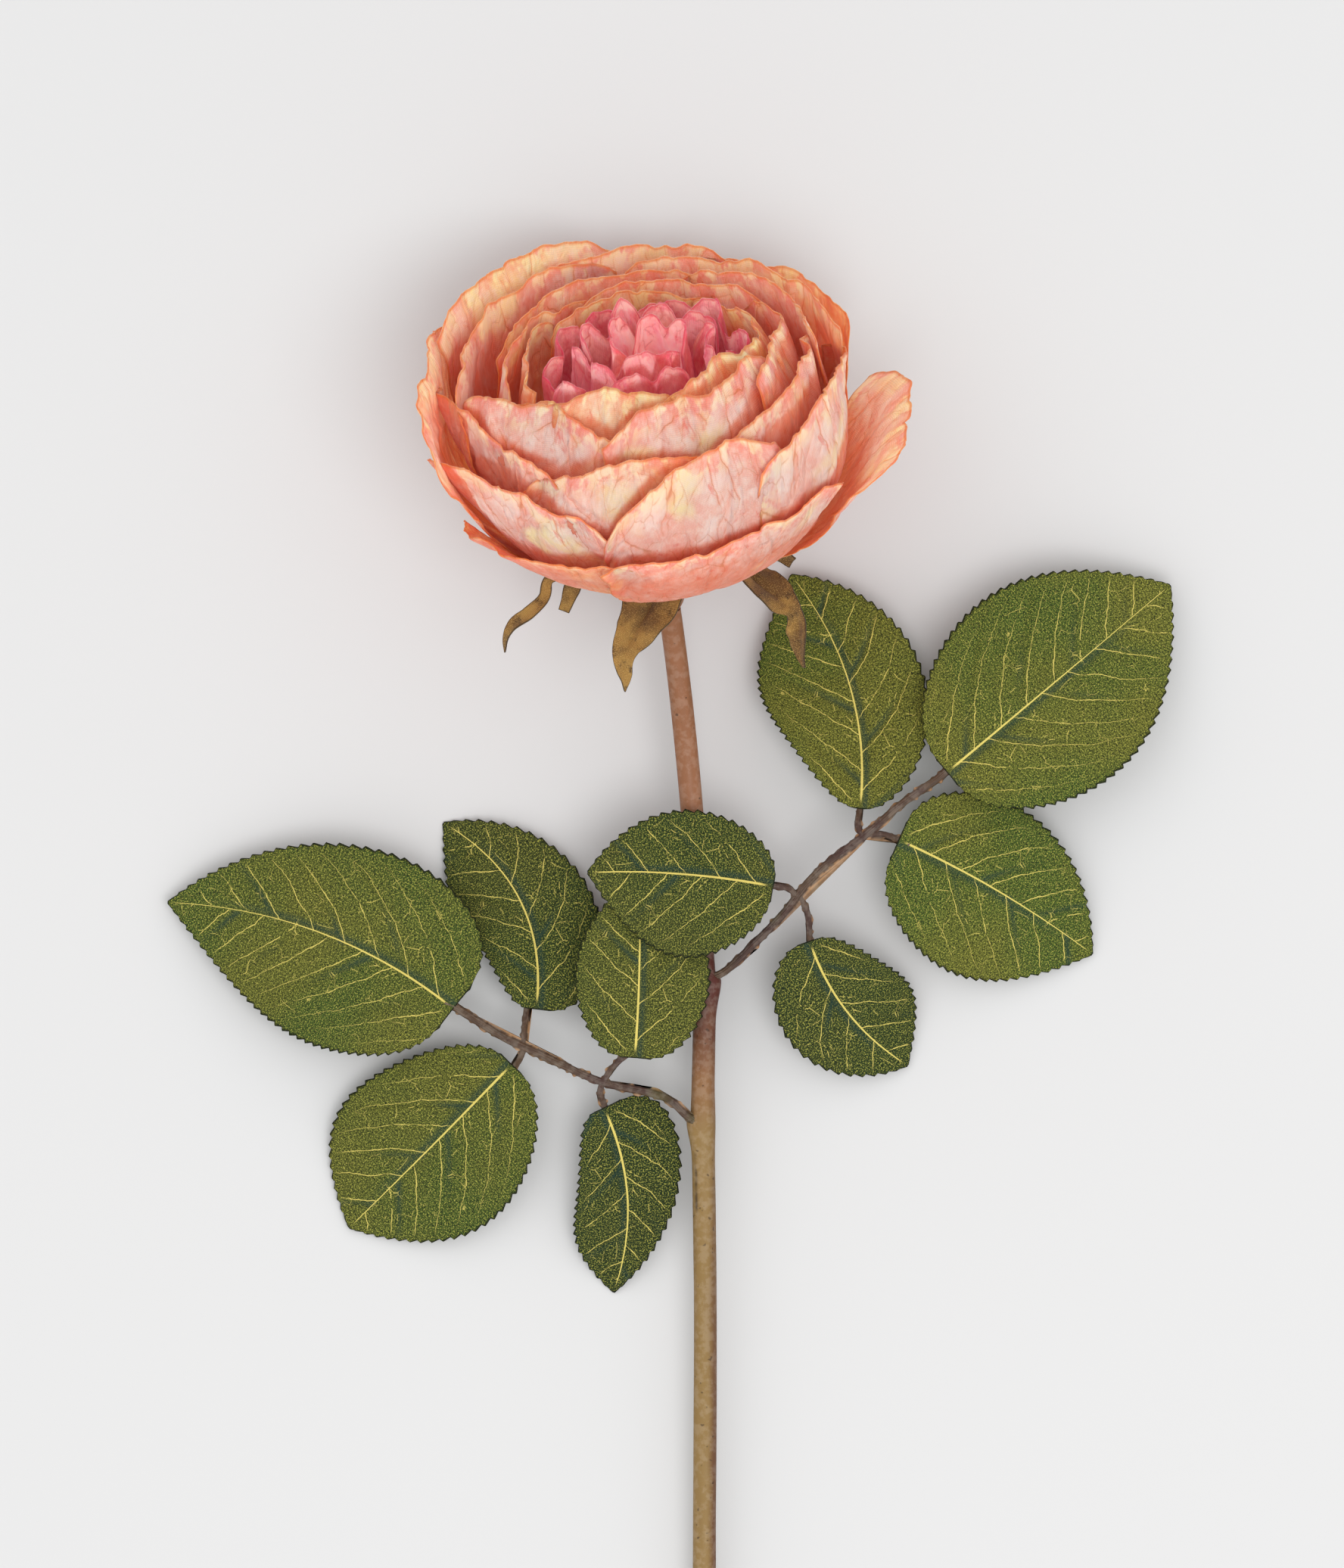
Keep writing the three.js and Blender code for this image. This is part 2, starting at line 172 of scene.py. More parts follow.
def colour(code):
    """A linear colour from a hex code as seen on screen."""
    shares = [int(code[i:i + 2], 16) / 255 for i in (1, 3, 5)]
    return tuple(c / 12.92 if c < 0.04045 else ((c + 0.055) / 1.055) ** 2.4 for c in shares) + (1,)


# ---------------------------------------------------------------- material building


class Nodes:
    """Short names for adding and linking the nodes of one tree."""

    def __init__(self, tree):
        self.tree = tree

    def add(self, kind, values=None, **settings):
        node = self.tree.nodes.new(kind)
        for key, value in settings.items():
            setattr(node, key, value)
        for key, value in (values or {}).items():
            self.feed(node.inputs[key], value)
        return node

    def feed(self, socket, value):
        if isinstance(value, bpy.types.NodeSocket):
            self.tree.links.new(value, socket)
        else:
            socket.default_value = value

    def maths(self, operation, first, second=0.0, third=0.0):
        values = {0: first, 1: second, 2: third}
        return self.add("ShaderNodeMath", values, operation=operation).outputs[0]

    def mix(self, share, first, second, blend="MIX"):
        node = self.add("ShaderNodeMix", data_type="RGBA", blend_type=blend)
        self.feed(node.inputs["Factor"], share)
        self.feed(node.inputs[6], first)
        self.feed(node.inputs[7], second)
        return node.outputs[2]

    def tint(self, tone, mask, strength, paint):
        """The tone with paint laid over it where the mask is 1, at no more than the given strength."""
        return self.mix(self.maths("MULTIPLY", mask, strength), tone, paint)

    def span(self, value, low, high, to_low=0.0, to_high=1.0):
        values = {"Value": value, "From Min": low, "From Max": high, "To Min": to_low, "To Max": to_high}
        return self.add("ShaderNodeMapRange", values, interpolation_type="SMOOTHSTEP").outputs[0]

    def cloud(self, place, scale, detail=3.0, roughness=0.55, warp=0.0):
        values = {"Vector": place, "Scale": scale, "Detail": detail, "Roughness": roughness,
                  "Distortion": warp}
        return self.add("ShaderNodeTexNoise", values).outputs["Fac"]

    def attribute(self, name):
        return self.add("ShaderNodeAttribute", attribute_name=name).outputs["Fac"]

    def places(self):
        """The cloth's own flat coordinates, then the place in the whole object."""
        return self.add("ShaderNodeUVMap").outputs[0], self.add("ShaderNodeTexCoord").outputs["Object"]

    def stretched(self, place, scale, location=(0, 0, 0)):
        values = {"Vector": place, "Scale": scale, "Location": location}
        return self.add("ShaderNodeMapping", values).outputs[0]

    def warped(self, place, amount, detail, roughness):
        """The place pushed about by soft noise, so that the lines drawn on it wander."""
        values = {"Vector": place, "Scale": 1.3, "Detail": detail, "Roughness": roughness}
        wobble = self.add("ShaderNodeTexNoise", values).outputs["Color"]
        shift = self.add("ShaderNodeVectorMath", {0: wobble, 1: (0.5, 0.5, 0.5)}, operation="SUBTRACT")
        values = {0: shift.outputs[0], 1: amount, 2: place}
        return self.add("ShaderNodeVectorMath", values, operation="MULTIPLY_ADD").outputs[0]

    def grey(self, value):
        return self.add("ShaderNodeCombineColor", {0: value, 1: value, 2: value}).outputs[0]

    def bump(self, height, strength, depth, normal=None):
        node = self.add("ShaderNodeBump", {"Height": height, "Strength": strength, "Distance": depth})
        if normal is not None:
            self.feed(node.inputs["Normal"], normal)
        return node.outputs[0]


def new_group(name, inputs, outputs):
    group = bpy.data.node_groups.new(name, "ShaderNodeTree")
    for label, kind, value in inputs:
        socket = group.interface.new_socket(label, in_out="INPUT", socket_type=kind)
        if value is not None:
            socket.default_value = value
    for label, kind in outputs:
        group.interface.new_socket(label, in_out="OUTPUT", socket_type=kind)
    nodes = Nodes(group)
    return group, nodes, nodes.add("NodeGroupInput").outputs, nodes.add("NodeGroupOutput").inputs


FLOAT, VECTOR = "NodeSocketFloat", "NodeSocketVector"


def make_weave_group():
    """Fine woven threads in the cloth's own coordinates: a height from 0 to 1."""
    group, nodes, given, result = new_group(
        "woven threads", [("Place", VECTOR, None), ("Threads", FLOAT, 9.0)], [("Height", FLOAT)])
    lines = []
    for direction in ("X", "Y"):
        wave = nodes.add("ShaderNodeTexWave", {"Vector": given["Place"], "Scale": given["Threads"],
                                               "Distortion": 1.2, "Detail": 1.0, "Detail Scale": 0.4},
                         wave_type="BANDS", bands_direction=direction)
        lines.append(wave.outputs["Fac"])
    crossed = nodes.maths("MULTIPLY", lines[0], lines[1])
    nodes.feed(result["Height"], nodes.maths("POWER", crossed, 0.5))
    return group


def make_crease_group():
    """Pressed-in wrinkles of crinkled cloth: long lines from foot to rim, with short ones across, and a soft
    band of painted shade beside each line.
    """
    group, nodes, given, result = new_group(
        "pressed creases", [("Place", VECTOR, None), ("Size", FLOAT, 1.0)],
        [("Lines", FLOAT), ("Shade", FLOAT), ("Height", FLOAT)])
    bent = nodes.warped(given["Place"], (0.45, 0.6, 0), 3.0, 0.5)
    layers = []
    for stretch, width, seed in (((1.2, 0.45, 1), 0.012, 0.0), ((2.2, 1.2, 1), 0.014, 3.7)):
        place = nodes.stretched(bent, stretch, (seed, seed, 0))
        cells = nodes.add("ShaderNodeTexVoronoi", {"Vector": place, "Scale": given["Size"]},
                          feature="DISTANCE_TO_EDGE")
        fade = nodes.span(nodes.cloud(place, 1.1, 3.0), 0.40, 0.60)
        distance = cells.outputs["Distance"]
        line = nodes.maths("MULTIPLY", nodes.span(distance, 0.0, width, 1.0, 0.0), fade)
        # Painted shade: a soft band beside each line, darkest at the line.
        painted_glow_and_shade = nodes.maths("MULTIPLY", nodes.span(distance, 0.0, width * 5, 1.0, 0.0), fade)
        layers.append((line, painted_glow_and_shade, nodes.span(distance, 0.0, width * 10, 0.0, 1.0)))
    fine = nodes.maths("MULTIPLY", layers[1][0], 0.55)
    nodes.feed(result["Lines"], nodes.maths("MAXIMUM", layers[0][0], fine))
    soft = nodes.maths("MULTIPLY", layers[1][1], 0.6)
    nodes.feed(result["Shade"], nodes.maths("MAXIMUM", layers[0][1], soft))
    nodes.feed(result["Height"], nodes.maths("MULTIPLY_ADD", layers[1][2], 0.45, layers[0][2]))
    return group


WEAVE = make_weave_group()
CREASES = make_crease_group()


def weave_height(nodes, place, threads):
    values = {"Place": place, "Threads": threads}
    return nodes.add("ShaderNodeGroup", values, node_tree=WEAVE).outputs["Height"]


def start_material(name, roughness, sheen=0.0):
    material = bpy.data.materials.new(name)
    material.use_nodes = True
    tree = material.node_tree
    shader = tree.nodes["Principled BSDF"]
    shader.inputs["Roughness"].default_value = roughness
    shader.inputs["Specular IOR Level"].default_value = 0.25
    if sheen:
        shader.inputs["Sheen Weight"].default_value = sheen
        shader.inputs["Sheen Roughness"].default_value = 0.5
    return material, Nodes(tree), shader


def petal_material(name, tones, light_share, blush_share, painted_glow_and_shade):
    """Crinkled petal cloth: a main tone with lighter patches, blushes, painted shade in the deep folds and
    beside the creases, and dark crease lines; the cloth also glows a little in its own colour as painted
    light.
    """
    main, light, pale, blush, deep, line = [colour(code) for code in tones]
    material, nodes, shader = start_material(name, 0.8, 0.1)
    place, body = nodes.places()
    edge = nodes.attribute("edge")
    creases = nodes.add("ShaderNodeGroup", {"Place": place, "Size": 1.0}, node_tree=CREASES)
    weave = weave_height(nodes, place, 8.0)
    streaks = nodes.stretched(place, (1.1, 0.85, 1))

    patches = nodes.span(nodes.cloud(body, 38.0, 3.0, 0.5, 0.6), 0.60 - light_share, 0.72 - light_share)
    tone = nodes.tint(main, patches, 0.85, light)
    washes = nodes.span(nodes.cloud(streaks, 1.1, 5.0, 0.62, 0.5), 0.40, 0.62)
    tone = nodes.tint(tone, washes, 0.66, pale)
    blushes = nodes.span(nodes.cloud(streaks, 1.5, 4.0, 0.6, 0.9), 0.70 - blush_share, 0.84 - blush_share)
    tone = nodes.tint(tone, blushes, 0.72, blush)
    near_rim = nodes.span(nodes.maths("MULTIPLY_ADD", nodes.cloud(streaks, 3.0, 4.0, 0.7), 0.16, edge),
                          0.07, 0.20, 1.0, 0.0)
    rim_turns = nodes.span(nodes.cloud(streaks, 1.7, 3.0, 0.6), 0.46, 0.56)
    tone = nodes.tint(tone, near_rim, 0.60, nodes.mix(rim_turns, blush, light))
    veil = nodes.span(nodes.cloud(streaks, 7.0, 5.0, 0.75), 0.42, 0.66)
    tone = nodes.tint(tone, veil, 0.30, pale)
    # Painted shade: the deep tone where a petal tucks against the next ring, wobbled by noise.
    fold_shade = nodes.attribute("fold_shade")
    shade_wobble = nodes.maths("MULTIPLY_ADD", nodes.cloud(streaks, 2.2, 4.0, 0.65), 0.9, -0.45)
    tone = nodes.mix(nodes.span(nodes.maths("ADD", fold_shade, shade_wobble), 0.30, 1.20, 0.0, 0.80), tone, deep)
    # Painted shade in a soft band beside each crease.
    tone = nodes.tint(tone, creases.outputs["Shade"], 0.34, deep)
    tone = nodes.tint(tone, creases.outputs["Lines"], 0.65, line)
    hem = nodes.span(edge, 0.002, 0.014, 1.0, 0.0)
    tone = nodes.tint(tone, hem, 0.75, line)
    threads = nodes.span(weave, 0.0, 1.0, 0.90, 1.03)
    tone = nodes.mix(1.0, tone, nodes.grey(threads), "MULTIPLY")
    nodes.feed(shader.inputs["Base Color"], tone)
    # Painted light: the cloth glows a little in its own colour, standing in for light shining through the
    # thin petals into their shade.
    nodes.feed(shader.inputs["Emission Color"], tone)
    shader.inputs["Emission Strength"].default_value = painted_glow_and_shade
    shader.inputs["Subsurface Weight"].default_value = 0.75
    shader.inputs["Subsurface Radius"].default_value = (1.0, 0.5, 0.35)
    shader.inputs["Subsurface Scale"].default_value = 0.004

    folds = nodes.bump(creases.outputs["Height"], 0.55, 0.0005)
    nodes.feed(shader.inputs["Normal"], nodes.bump(weave, 0.4, 0.00012, folds))
    return material


# main, lighter patches, pale washes, blush, painted shade in deep folds and beside creases, crease lines
PEACH_TONES = ("#F29A8A", "#FDCC94", "#FCCABC", "#E6584E", "#DC4E18", "#BC5A22")
CREAM_TONES = ("#FAA87E", "#FFD894", "#FFDCBE", "#EA5A48", "#D84E18", "#B8551F")
PINK_TONES = ("#F0768A", "#FAA69C", "#FDBCBE", "#DC3658", "#960C28", "#AC2340")
# The last number of each is its painted glow: how strongly the cloth glows in its own colour.
PEACH = petal_material("peach petal cloth", PEACH_TONES, 0.10, 0.12, 0.06)
CREAM = petal_material("cream petal cloth", CREAM_TONES, 0.14, 0.14, 0.08)
PINK = petal_material("pink petal cloth", PINK_TONES, 0.06, 0.12, 0.20)

# ---------------------------------------------------------------- the flower's own frame

HEAD_AXIS = np.array([-math.sin(HEAD_LEAN) * math.cos(HEAD_TILT),
                      math.cos(HEAD_LEAN) * math.cos(HEAD_TILT), math.sin(HEAD_TILT)])
HEAD_RIGHT = np.array([math.cos(HEAD_LEAN), math.sin(HEAD_LEAN), 0])
HEAD_FRONT = np.cross(HEAD_RIGHT, HEAD_AXIS)


def bowl_height(turn):
    wall = WIDEST + (1 - WIDEST) * (turn - math.pi / 2) / WALL_TURN
    return np.where(turn < math.pi / 2, WIDEST * (1 - np.cos(turn)), wall)


def bowl_radius(turn, close):
    wall = 1 - close * np.maximum((turn - math.pi / 2) / WALL_TURN, 0) ** 2
    return np.where(turn < math.pi / 2, np.sin(turn), wall)


def bowl_turn(height):
    lower = np.arccos(np.clip(1 - height / WIDEST, -1, 1))
    return np.where(height < WIDEST, lower, math.pi / 2 + WALL_TURN * (height - WIDEST) / (1 - WIDEST))


def base_height():
    turn = np.arange(0, math.pi / 2, 0.01)
    reach = HEAD_RADIUS + OVERLAP_STEP + 0.5
    rise = bowl_height(turn) * HEAD_HEIGHT * math.sin(HEAD_TILT)
    return -np.min(rise - reach * bowl_radius(turn, 0) * math.cos(HEAD_TILT))


HEAD_BASE = np.array([-0.6, 146.6, base_height()])


def head_point(height, radius, angle):
    return (HEAD_BASE + np.multiply.outer(height, HEAD_AXIS)
            + np.multiply.outer(radius * np.sin(angle), HEAD_RIGHT)
            + np.multiply.outer(radius * np.cos(angle), HEAD_FRONT))


# ---------------------------------------------------------------- petals

# Rings from the outside in, each with its inset, how much it closes, how far its rims ruffle, how
# deep its rims are lobed and its cloth. Each petal is [angle, half width, [height share of its rim at
# one side, middle, other side], curl of its rim], then its flare and the lean of that one side, if any.
RINGS = {
    "outer": (0, 0.06, 1.5, 0, "peach", [
        [22, 42, [0.42, 0.45, 0.56], 0.4], [-47, 40, [0.38, 0.34, 0.43], 0.6, 0, 2],
        [-100, 30, [0.88, 0.88, 0.66], 2.0, 5], [-144, 32, [1.00, 1.04, 0.98], 2.4, 2],
        [88, 26, [0.58, 0.62, 0.64], 1.5, 44], [145, 30, [0.86, 0.93, 0.96], 1.0, 1],
        [183, 30, [0.97, 1.00, 0.98], 1.0]]),
    "second": (5, 0.08, 1.5, 0, "peach", [
        [-48, 44, [0.60, 0.60, 0.40], 0.5, 1, 8], [17, 38, [0.50, 0.82, 0.62], 0.3],
        [72, 40, [0.78, 0.84, 0.84], 0.8, 1], [142, 44, [0.98, 1.00, 1.00], 1.0],
        [-128, 46, [0.99, 0.96, 0.84], 1.6, 1]]),
    "third": (10, 0.12, 1.5, 0, "peach", [
        [-66, 40, [0.80, 0.74, 0.62], 0.8, 0, 9], [-14, 42, [0.60, 0.77, 0.76], 0.4],
        [56, 42, [0.78, 0.92, 0.98], 0.6], [130, 44, [0.98, 1.00, 0.98], 1.0],
        [-158, 46, [0.98, 0.98, 0.92], 1.2]]),
    "fourth": (15, 0.16, 1.6, 0, "peach", [
        [-46, 44, [0.84, 0.90, 0.76], 0.8, 0, 6], [24, 44, [0.90, 1.00, 1.00], 0.8],
        [92, 44, [1.00, 1.00, 0.98], 0.8], [164, 44, [0.98, 0.99, 0.98], 1.0],
        [-118, 44, [0.96, 0.93, 0.85], 1.0]]),
    "collar": (19.5, 0.20, 2.0, 0, "cream", [
        [-28, 44, [0.88, 0.97, 1.00], 1.0, 0, 2], [44, 44, [1.00, 1.03, 1.02], 1.2],
        [116, 44, [1.00, 0.98, 0.97], 0.8], [-172, 44, [0.96, 0.97, 0.96], 1.0],
        [-100, 44, [0.94, 0.93, 0.88], 1.2]]),
    "heart": (27, 0.16, 1.4, 1.0, "pink", [
        [-30, 44, [0.88, 0.94, 0.92], 1.0], [42, 44, [0.92, 0.95, 0.94], 1.0],
        [114, 44, [0.96, 1.00, 0.96], 1.0], [-174, 44, [0.97, 1.00, 0.97], 1.0],
        [-102, 44, [0.94, 0.96, 0.90], 1.0]]),
    "core": (34.5, 0.12, 1.2, 1.0, "pink", [
        [4, 44, [0.94, 0.98, 0.95], 1.0], [76, 44, [0.95, 1.00, 0.96], 1.0],
        [148, 44, [0.98, 1.03, 0.98], 1.0], [-140, 44, [0.98, 1.03, 0.98], 1.0],
        [-68, 44, [0.95, 1.00, 0.94], 1.0]]),
    "bud": (42.2, 0.10, 0.8, 0.7, "pink", [
        [20, 72, [0.96, 1.00, 0.96], 0.5], [140, 72, [0.98, 1.05, 0.98], 0.5],
        [-100, 72, [0.97, 1.02, 0.97], 0.5]]),
}
CLOTHS = {
    "peach": (PEACH, "petal_fabric"), "cream": (CREAM, "collar_fabric"), "pink": (PINK, "heart_fabric"),
}
RING_ORDER = list(RINGS)

CORNER_DROP = 0.08      # fall of a rim's corners, as a share of the flower's height
CLAW_SHARE = 0.55       # width of a petal's foot, as a share of its widest
SPREAD_END = 0.62       # how far up a petal it reaches its full width
PETAL_LENGTH = 62       # along the cloth, from foot to rim
LOBE_DROP = 0.08        # depth of the notches between the lobes of a pink rim
LOBE_BULGE = 3.6        # how far each lobe cups outwards
OPEN_CLEAR = 6.0        # opening at which a petal stands clear of the ring inside it
WIDE_FLARE = 20         # flare above which a petal is wide open, with a calmer rim
HUG = 2.8               # how far the front rims close onto the ring inside them
HUG_END = 19.5          # inset of the first ring that no longer does
HUG_FADE = 10           # range of inset over which it fades
# Torn threads along a rim: share of the flower's height, size of their pattern, seed.
RAGS = [(0.024, 9, 0), (0.008, 2.4, 1), (0.004, 0.9, 7)]
# Pressed wrinkles: depth, squeeze along the petal, size of their pattern, seed.
CRUMPLES = [(0.85, 0.5, 10, 5), (0.40, 0.7, 5, 6), (0.15, 1, 2.2, 9)]


def rim_height(u, petal, lobes):
    first, middle, last = petal[2]
    rim = middle + (last - first) * u / 2 + ((first + last) / 2 - middle) * u ** 2
    notch = np.abs(np.cos(math.pi * u)) ** 5
    return rim - CORNER_DROP * np.abs(u) ** 5 - LOBE_DROP * lobes * notch


def ring_rim(ring, angles):
    """The highest rim of a ring at the given angles, as a share of the flower's height."""
    lobes, petals = RINGS[ring][3], RINGS[ring][5]
    rims = []
    for petal in petals:
        u = ((angles - petal[0] + 180) % 360 - 180) / petal[1]
        covered = np.abs(u) <= 1
        rims.append(np.where(covered, rim_height(np.clip(u, -1, 1), petal, lobes), 0))
    return np.max(rims, axis=0)


def petal_points(u, v, ring, petal, seed):
    inset, close, ruffle, lobes = RINGS[ring][:4]
    angle, half_width, _, curl, *extra = petal
    flare, side_lean = (extra + [0, 0])[:2]
    radius = HEAD_RADIUS - inset - OVERLAP_STEP * u
    width = radius * math.radians(half_width) * u
    length = PETAL_LENGTH * v
    floor = FLOOR_STEP * (HEAD_RADIUS - radius)
    foot = np.arcsin(np.minimum(1, CLAW_RADIUS / radius))
    ragged = 0
    for share, cell, key in RAGS:
        ragged = ragged + share * flat_noise(width, 0 * u, cell, seed + key)
    ragged = ragged * (0.4 if flare > WIDE_FLARE else 1 + lobes)
    top = bowl_turn(rim_height(u, petal, lobes) + ragged)
    turn = foot + (top - foot) * v
    height = bowl_height(turn)
    spread = CLAW_SHARE + (1 - CLAW_SHARE) * smooth(v / SPREAD_END)
    spread = spread * (1 + 0.03 * flat_noise(length, 0 * u, 9, seed + 2))
    turned = np.radians(angle + half_width * spread * u)
    opening = flare * np.maximum(0, (height - 0.3) / 0.7) ** 2
    lean = side_lean * smooth(-u) * smooth((height - 0.2) / 0.55)

    near_rim = smooth((v - 0.5) / 0.5)
    wave = ruffle * near_rim * flat_noise(width, 0.3 * length, 8, seed + 3)
    wave = wave + 0.45 * ruffle * smooth((v - 0.75) / 0.25) * flat_noise(width, 0.3 * length, 3, seed + 8)
    bulge = lobes * LOBE_BULGE * near_rim * (np.sin(math.pi * u) ** 2 - 0.6)
    swell = 1.1 * flat_noise(width, length, 22, seed + 4) * smooth(v / 0.4)
    crumple = 0
    for depth, squeeze, cell, key in CRUMPLES:
        crumple = crumple + depth * ridges(width, squeeze * length, cell, seed + key) * smooth(v / 0.3)
    roll = curl * smooth((v - 0.88) / 0.12) ** 2
    hug = HUG * smooth((HUG_END - inset) / HUG_FADE) * smooth((v - 0.4) / 0.6) * smooth(np.cos(turned))
    radius_here = radius * bowl_radius(turn, close) + opening + lean - hug
    radius_here = radius_here + wave + bulge + swell - crumple + roll
    rise = PETAL_LIFT + floor + height * (PETAL_HEIGHT - floor) - 0.3 * roll
    clear = smooth((opening + lean) / OPEN_CLEAR)
    return head_point(rise, radius_here, turned), width, length, height, np.degrees(turned), clear


def fold_shade_depth(ring, height, angles, side):
    """How deep a point lies in the tuck against the next ring, given as painted shade: 1 in it, 0 well clear
    of it.
    """
    index = RING_ORDER.index(ring) + side
    if not 0 <= index < len(RING_ORDER):
        return 1 - smooth((height - 0.25) / 0.3)
    rim = ring_rim(RING_ORDER[index], angles)
    if side < 0:
        return 1 - smooth((height - rim + 0.03) / 0.07)
    return 1 - smooth((height - rim + 0.22) / 0.30)


def make_petals():
    seed = 100
    for ring, (*_, cloth, petals) in RINGS.items():
        material, slot = CLOTHS[cloth]
        for number, petal in enumerate(petals, 1):
            name = f"petal_{ring}_{number}"
            seed += 10
            across = 130 if petal[1] > 60 else 90
            piece, u, v = grid_piece(name + "_cloth", across, 72)
            points, width, length, height, angles, clear = petal_points(u, v, ring, petal, seed)
            shape(piece, points, width + seed, length)
            reach = np.minimum((1 - np.abs(u)) * np.abs(width).max(), (1 - v) * PETAL_LENGTH) / PETAL_LENGTH
            thicken(piece, PETAL_THICKNESS)
            mark(piece, "edge", np.tile(reach, 2))
            # Painted shade where a petal tucks against its neighbours: against the ring outside on its outer
            # face, against the ring inside on its inner face, none where it stands clear.
            outward = fold_shade_depth(ring, height, angles, -1)
            inward = fold_shade_depth(ring, height, angles, 1) * (1 - clear)
            mark(piece, "fold_shade", np.concatenate([outward, inward]))
            finish_piece(piece, name, material)


make_petals()

# ---------------------------------------------------------------- tubes


def path_frames(points, count):
    """Evenly spaced points of a smooth curve through the given ones, with two directions across it."""
    points = np.array(points, float)
    gaps = np.linalg.norm(np.diff(points, axis=0), axis=1) ** 0.5
    knots = np.concatenate([[0], np.cumsum(gaps)])
    slopes = np.gradient(points, knots, axis=0)
    fine = np.linspace(0, knots[-1], 600)
    index = np.clip(np.searchsorted(knots, fine, side="right") - 1, 0, len(knots) - 2)
    span = (knots[index + 1] - knots[index])[:, None]
    t = ((fine - knots[index])[:, None]) / span
    curve = ((2 * t ** 3 - 3 * t ** 2 + 1) * points[index] + (t ** 3 - 2 * t ** 2 + t) * span * slopes[index]
             + (3 * t ** 2 - 2 * t ** 3) * points[index + 1] + (t ** 3 - t ** 2) * span * slopes[index + 1])
    run = np.concatenate([[0], np.cumsum(np.linalg.norm(np.diff(curve, axis=0), axis=1))])
    even = np.linspace(0, run[-1], count)
    line = np.stack([np.interp(even, run, curve[:, k]) for k in range(3)], axis=1)
    along = unit(np.gradient(line, axis=0))
    side = unit(np.cross(along, [0, 0, 1]))
    return line, side, np.cross(side, along), run[-1]


def tube_piece(name, points, radius, around, along, mark_name="", mask=None):
    """A closed tube: radius(turn, distance, length) in millimetres, turn from the right over the top.

    A mask(turn, distance), when there is one, is kept on the tube's points under mark_name.
    """
    piece, u, v = grid_piece(name, around, along)
    line, side, top, length = path_frames(points, along + 1)
    row = np.rint(v * along).astype(int)
    turn = math.pi * (u + 1)
    reach = radius(turn, v * length, length)
    points = line[row] + side[row] * (reach * np.cos(turn))[:, None]
    points = points + top[row] * (reach * np.sin(turn))[:, None]
    shape(piece, points, turn * 3, v * length)
    if mask:
        mark(piece, mark_name, mask(turn, v * length))
    bpy.ops.object.mode_set(mode="EDIT")
    bpy.ops.mesh.select_all(action="SELECT")
    bpy.ops.mesh.remove_doubles(threshold=1e-6)
    bpy.ops.mesh.select_all(action="DESELECT")
    bpy.ops.mesh.select_non_manifold(extend=False, use_wire=False, use_boundary=True, use_multi_face=False,
                                     use_non_contiguous=False, use_verts=False)
    bpy.ops.mesh.edge_face_add()
    bpy.ops.mesh.select_all(action="SELECT")
    bpy.ops.mesh.normals_make_consistent(inside=False)
    bpy.ops.object.mode_set(mode="OBJECT")
    return piece


# ---------------------------------------------------------------- stem

CUT_END_Y = HEAD_BASE[1] - 371
LOWER_NODE = np.array([8.3, 14, 12])
UPPER_NODE = np.array([8.4, 48, 13.5])
STEM_TOP_INSET = 10.4
stem_top = HEAD_BASE - STEM_TOP_INSET * HEAD_AXIS
STEM_LINE = [
    [8.6, CUT_END_Y, STEM_RADIUS + 0.1],
    [8.6, (CUT_END_Y + LOWER_NODE[1]) / 2, (STEM_RADIUS + LOWER_NODE[2]) / 2],
    [8.8, LOWER_NODE[1] - 42, LOWER_NODE[2] - 1.9],
    LOWER_NODE,
    UPPER_NODE,
    [5.6, 89, 15.5],
    0.7 * (stem_top - 14 * HEAD_AXIS) + 0.3 * np.array([4.4, 116, 18]),
    stem_top,
]


def speckled(nodes, shader, tone, body, fleck, grain):
    """Small dark specks, a mottled skin and fine pores shared by the moulded plastics."""
    mottle = nodes.span(nodes.cloud(body, 500.0, 3.0, 0.6), 0.42, 0.62)
    tone = nodes.tint(tone, mottle, 0.05, (1, 0.9, 0.75, 1))
    specks = nodes.span(nodes.cloud(body, 620.0, 1.0, 0.5), 0.70, 0.76)
    tone = nodes.tint(tone, specks, 0.6, fleck)
    nodes.feed(shader.inputs["Base Color"], tone)
    nodes.feed(shader.inputs["Roughness"], nodes.span(nodes.cloud(body, 60.0), 0.3, 0.7, 0.42, 0.62))
    nodes.feed(shader.inputs["Normal"], nodes.bump(nodes.cloud(body, grain, 4.0, 0.6), 0.3, 0.0003))


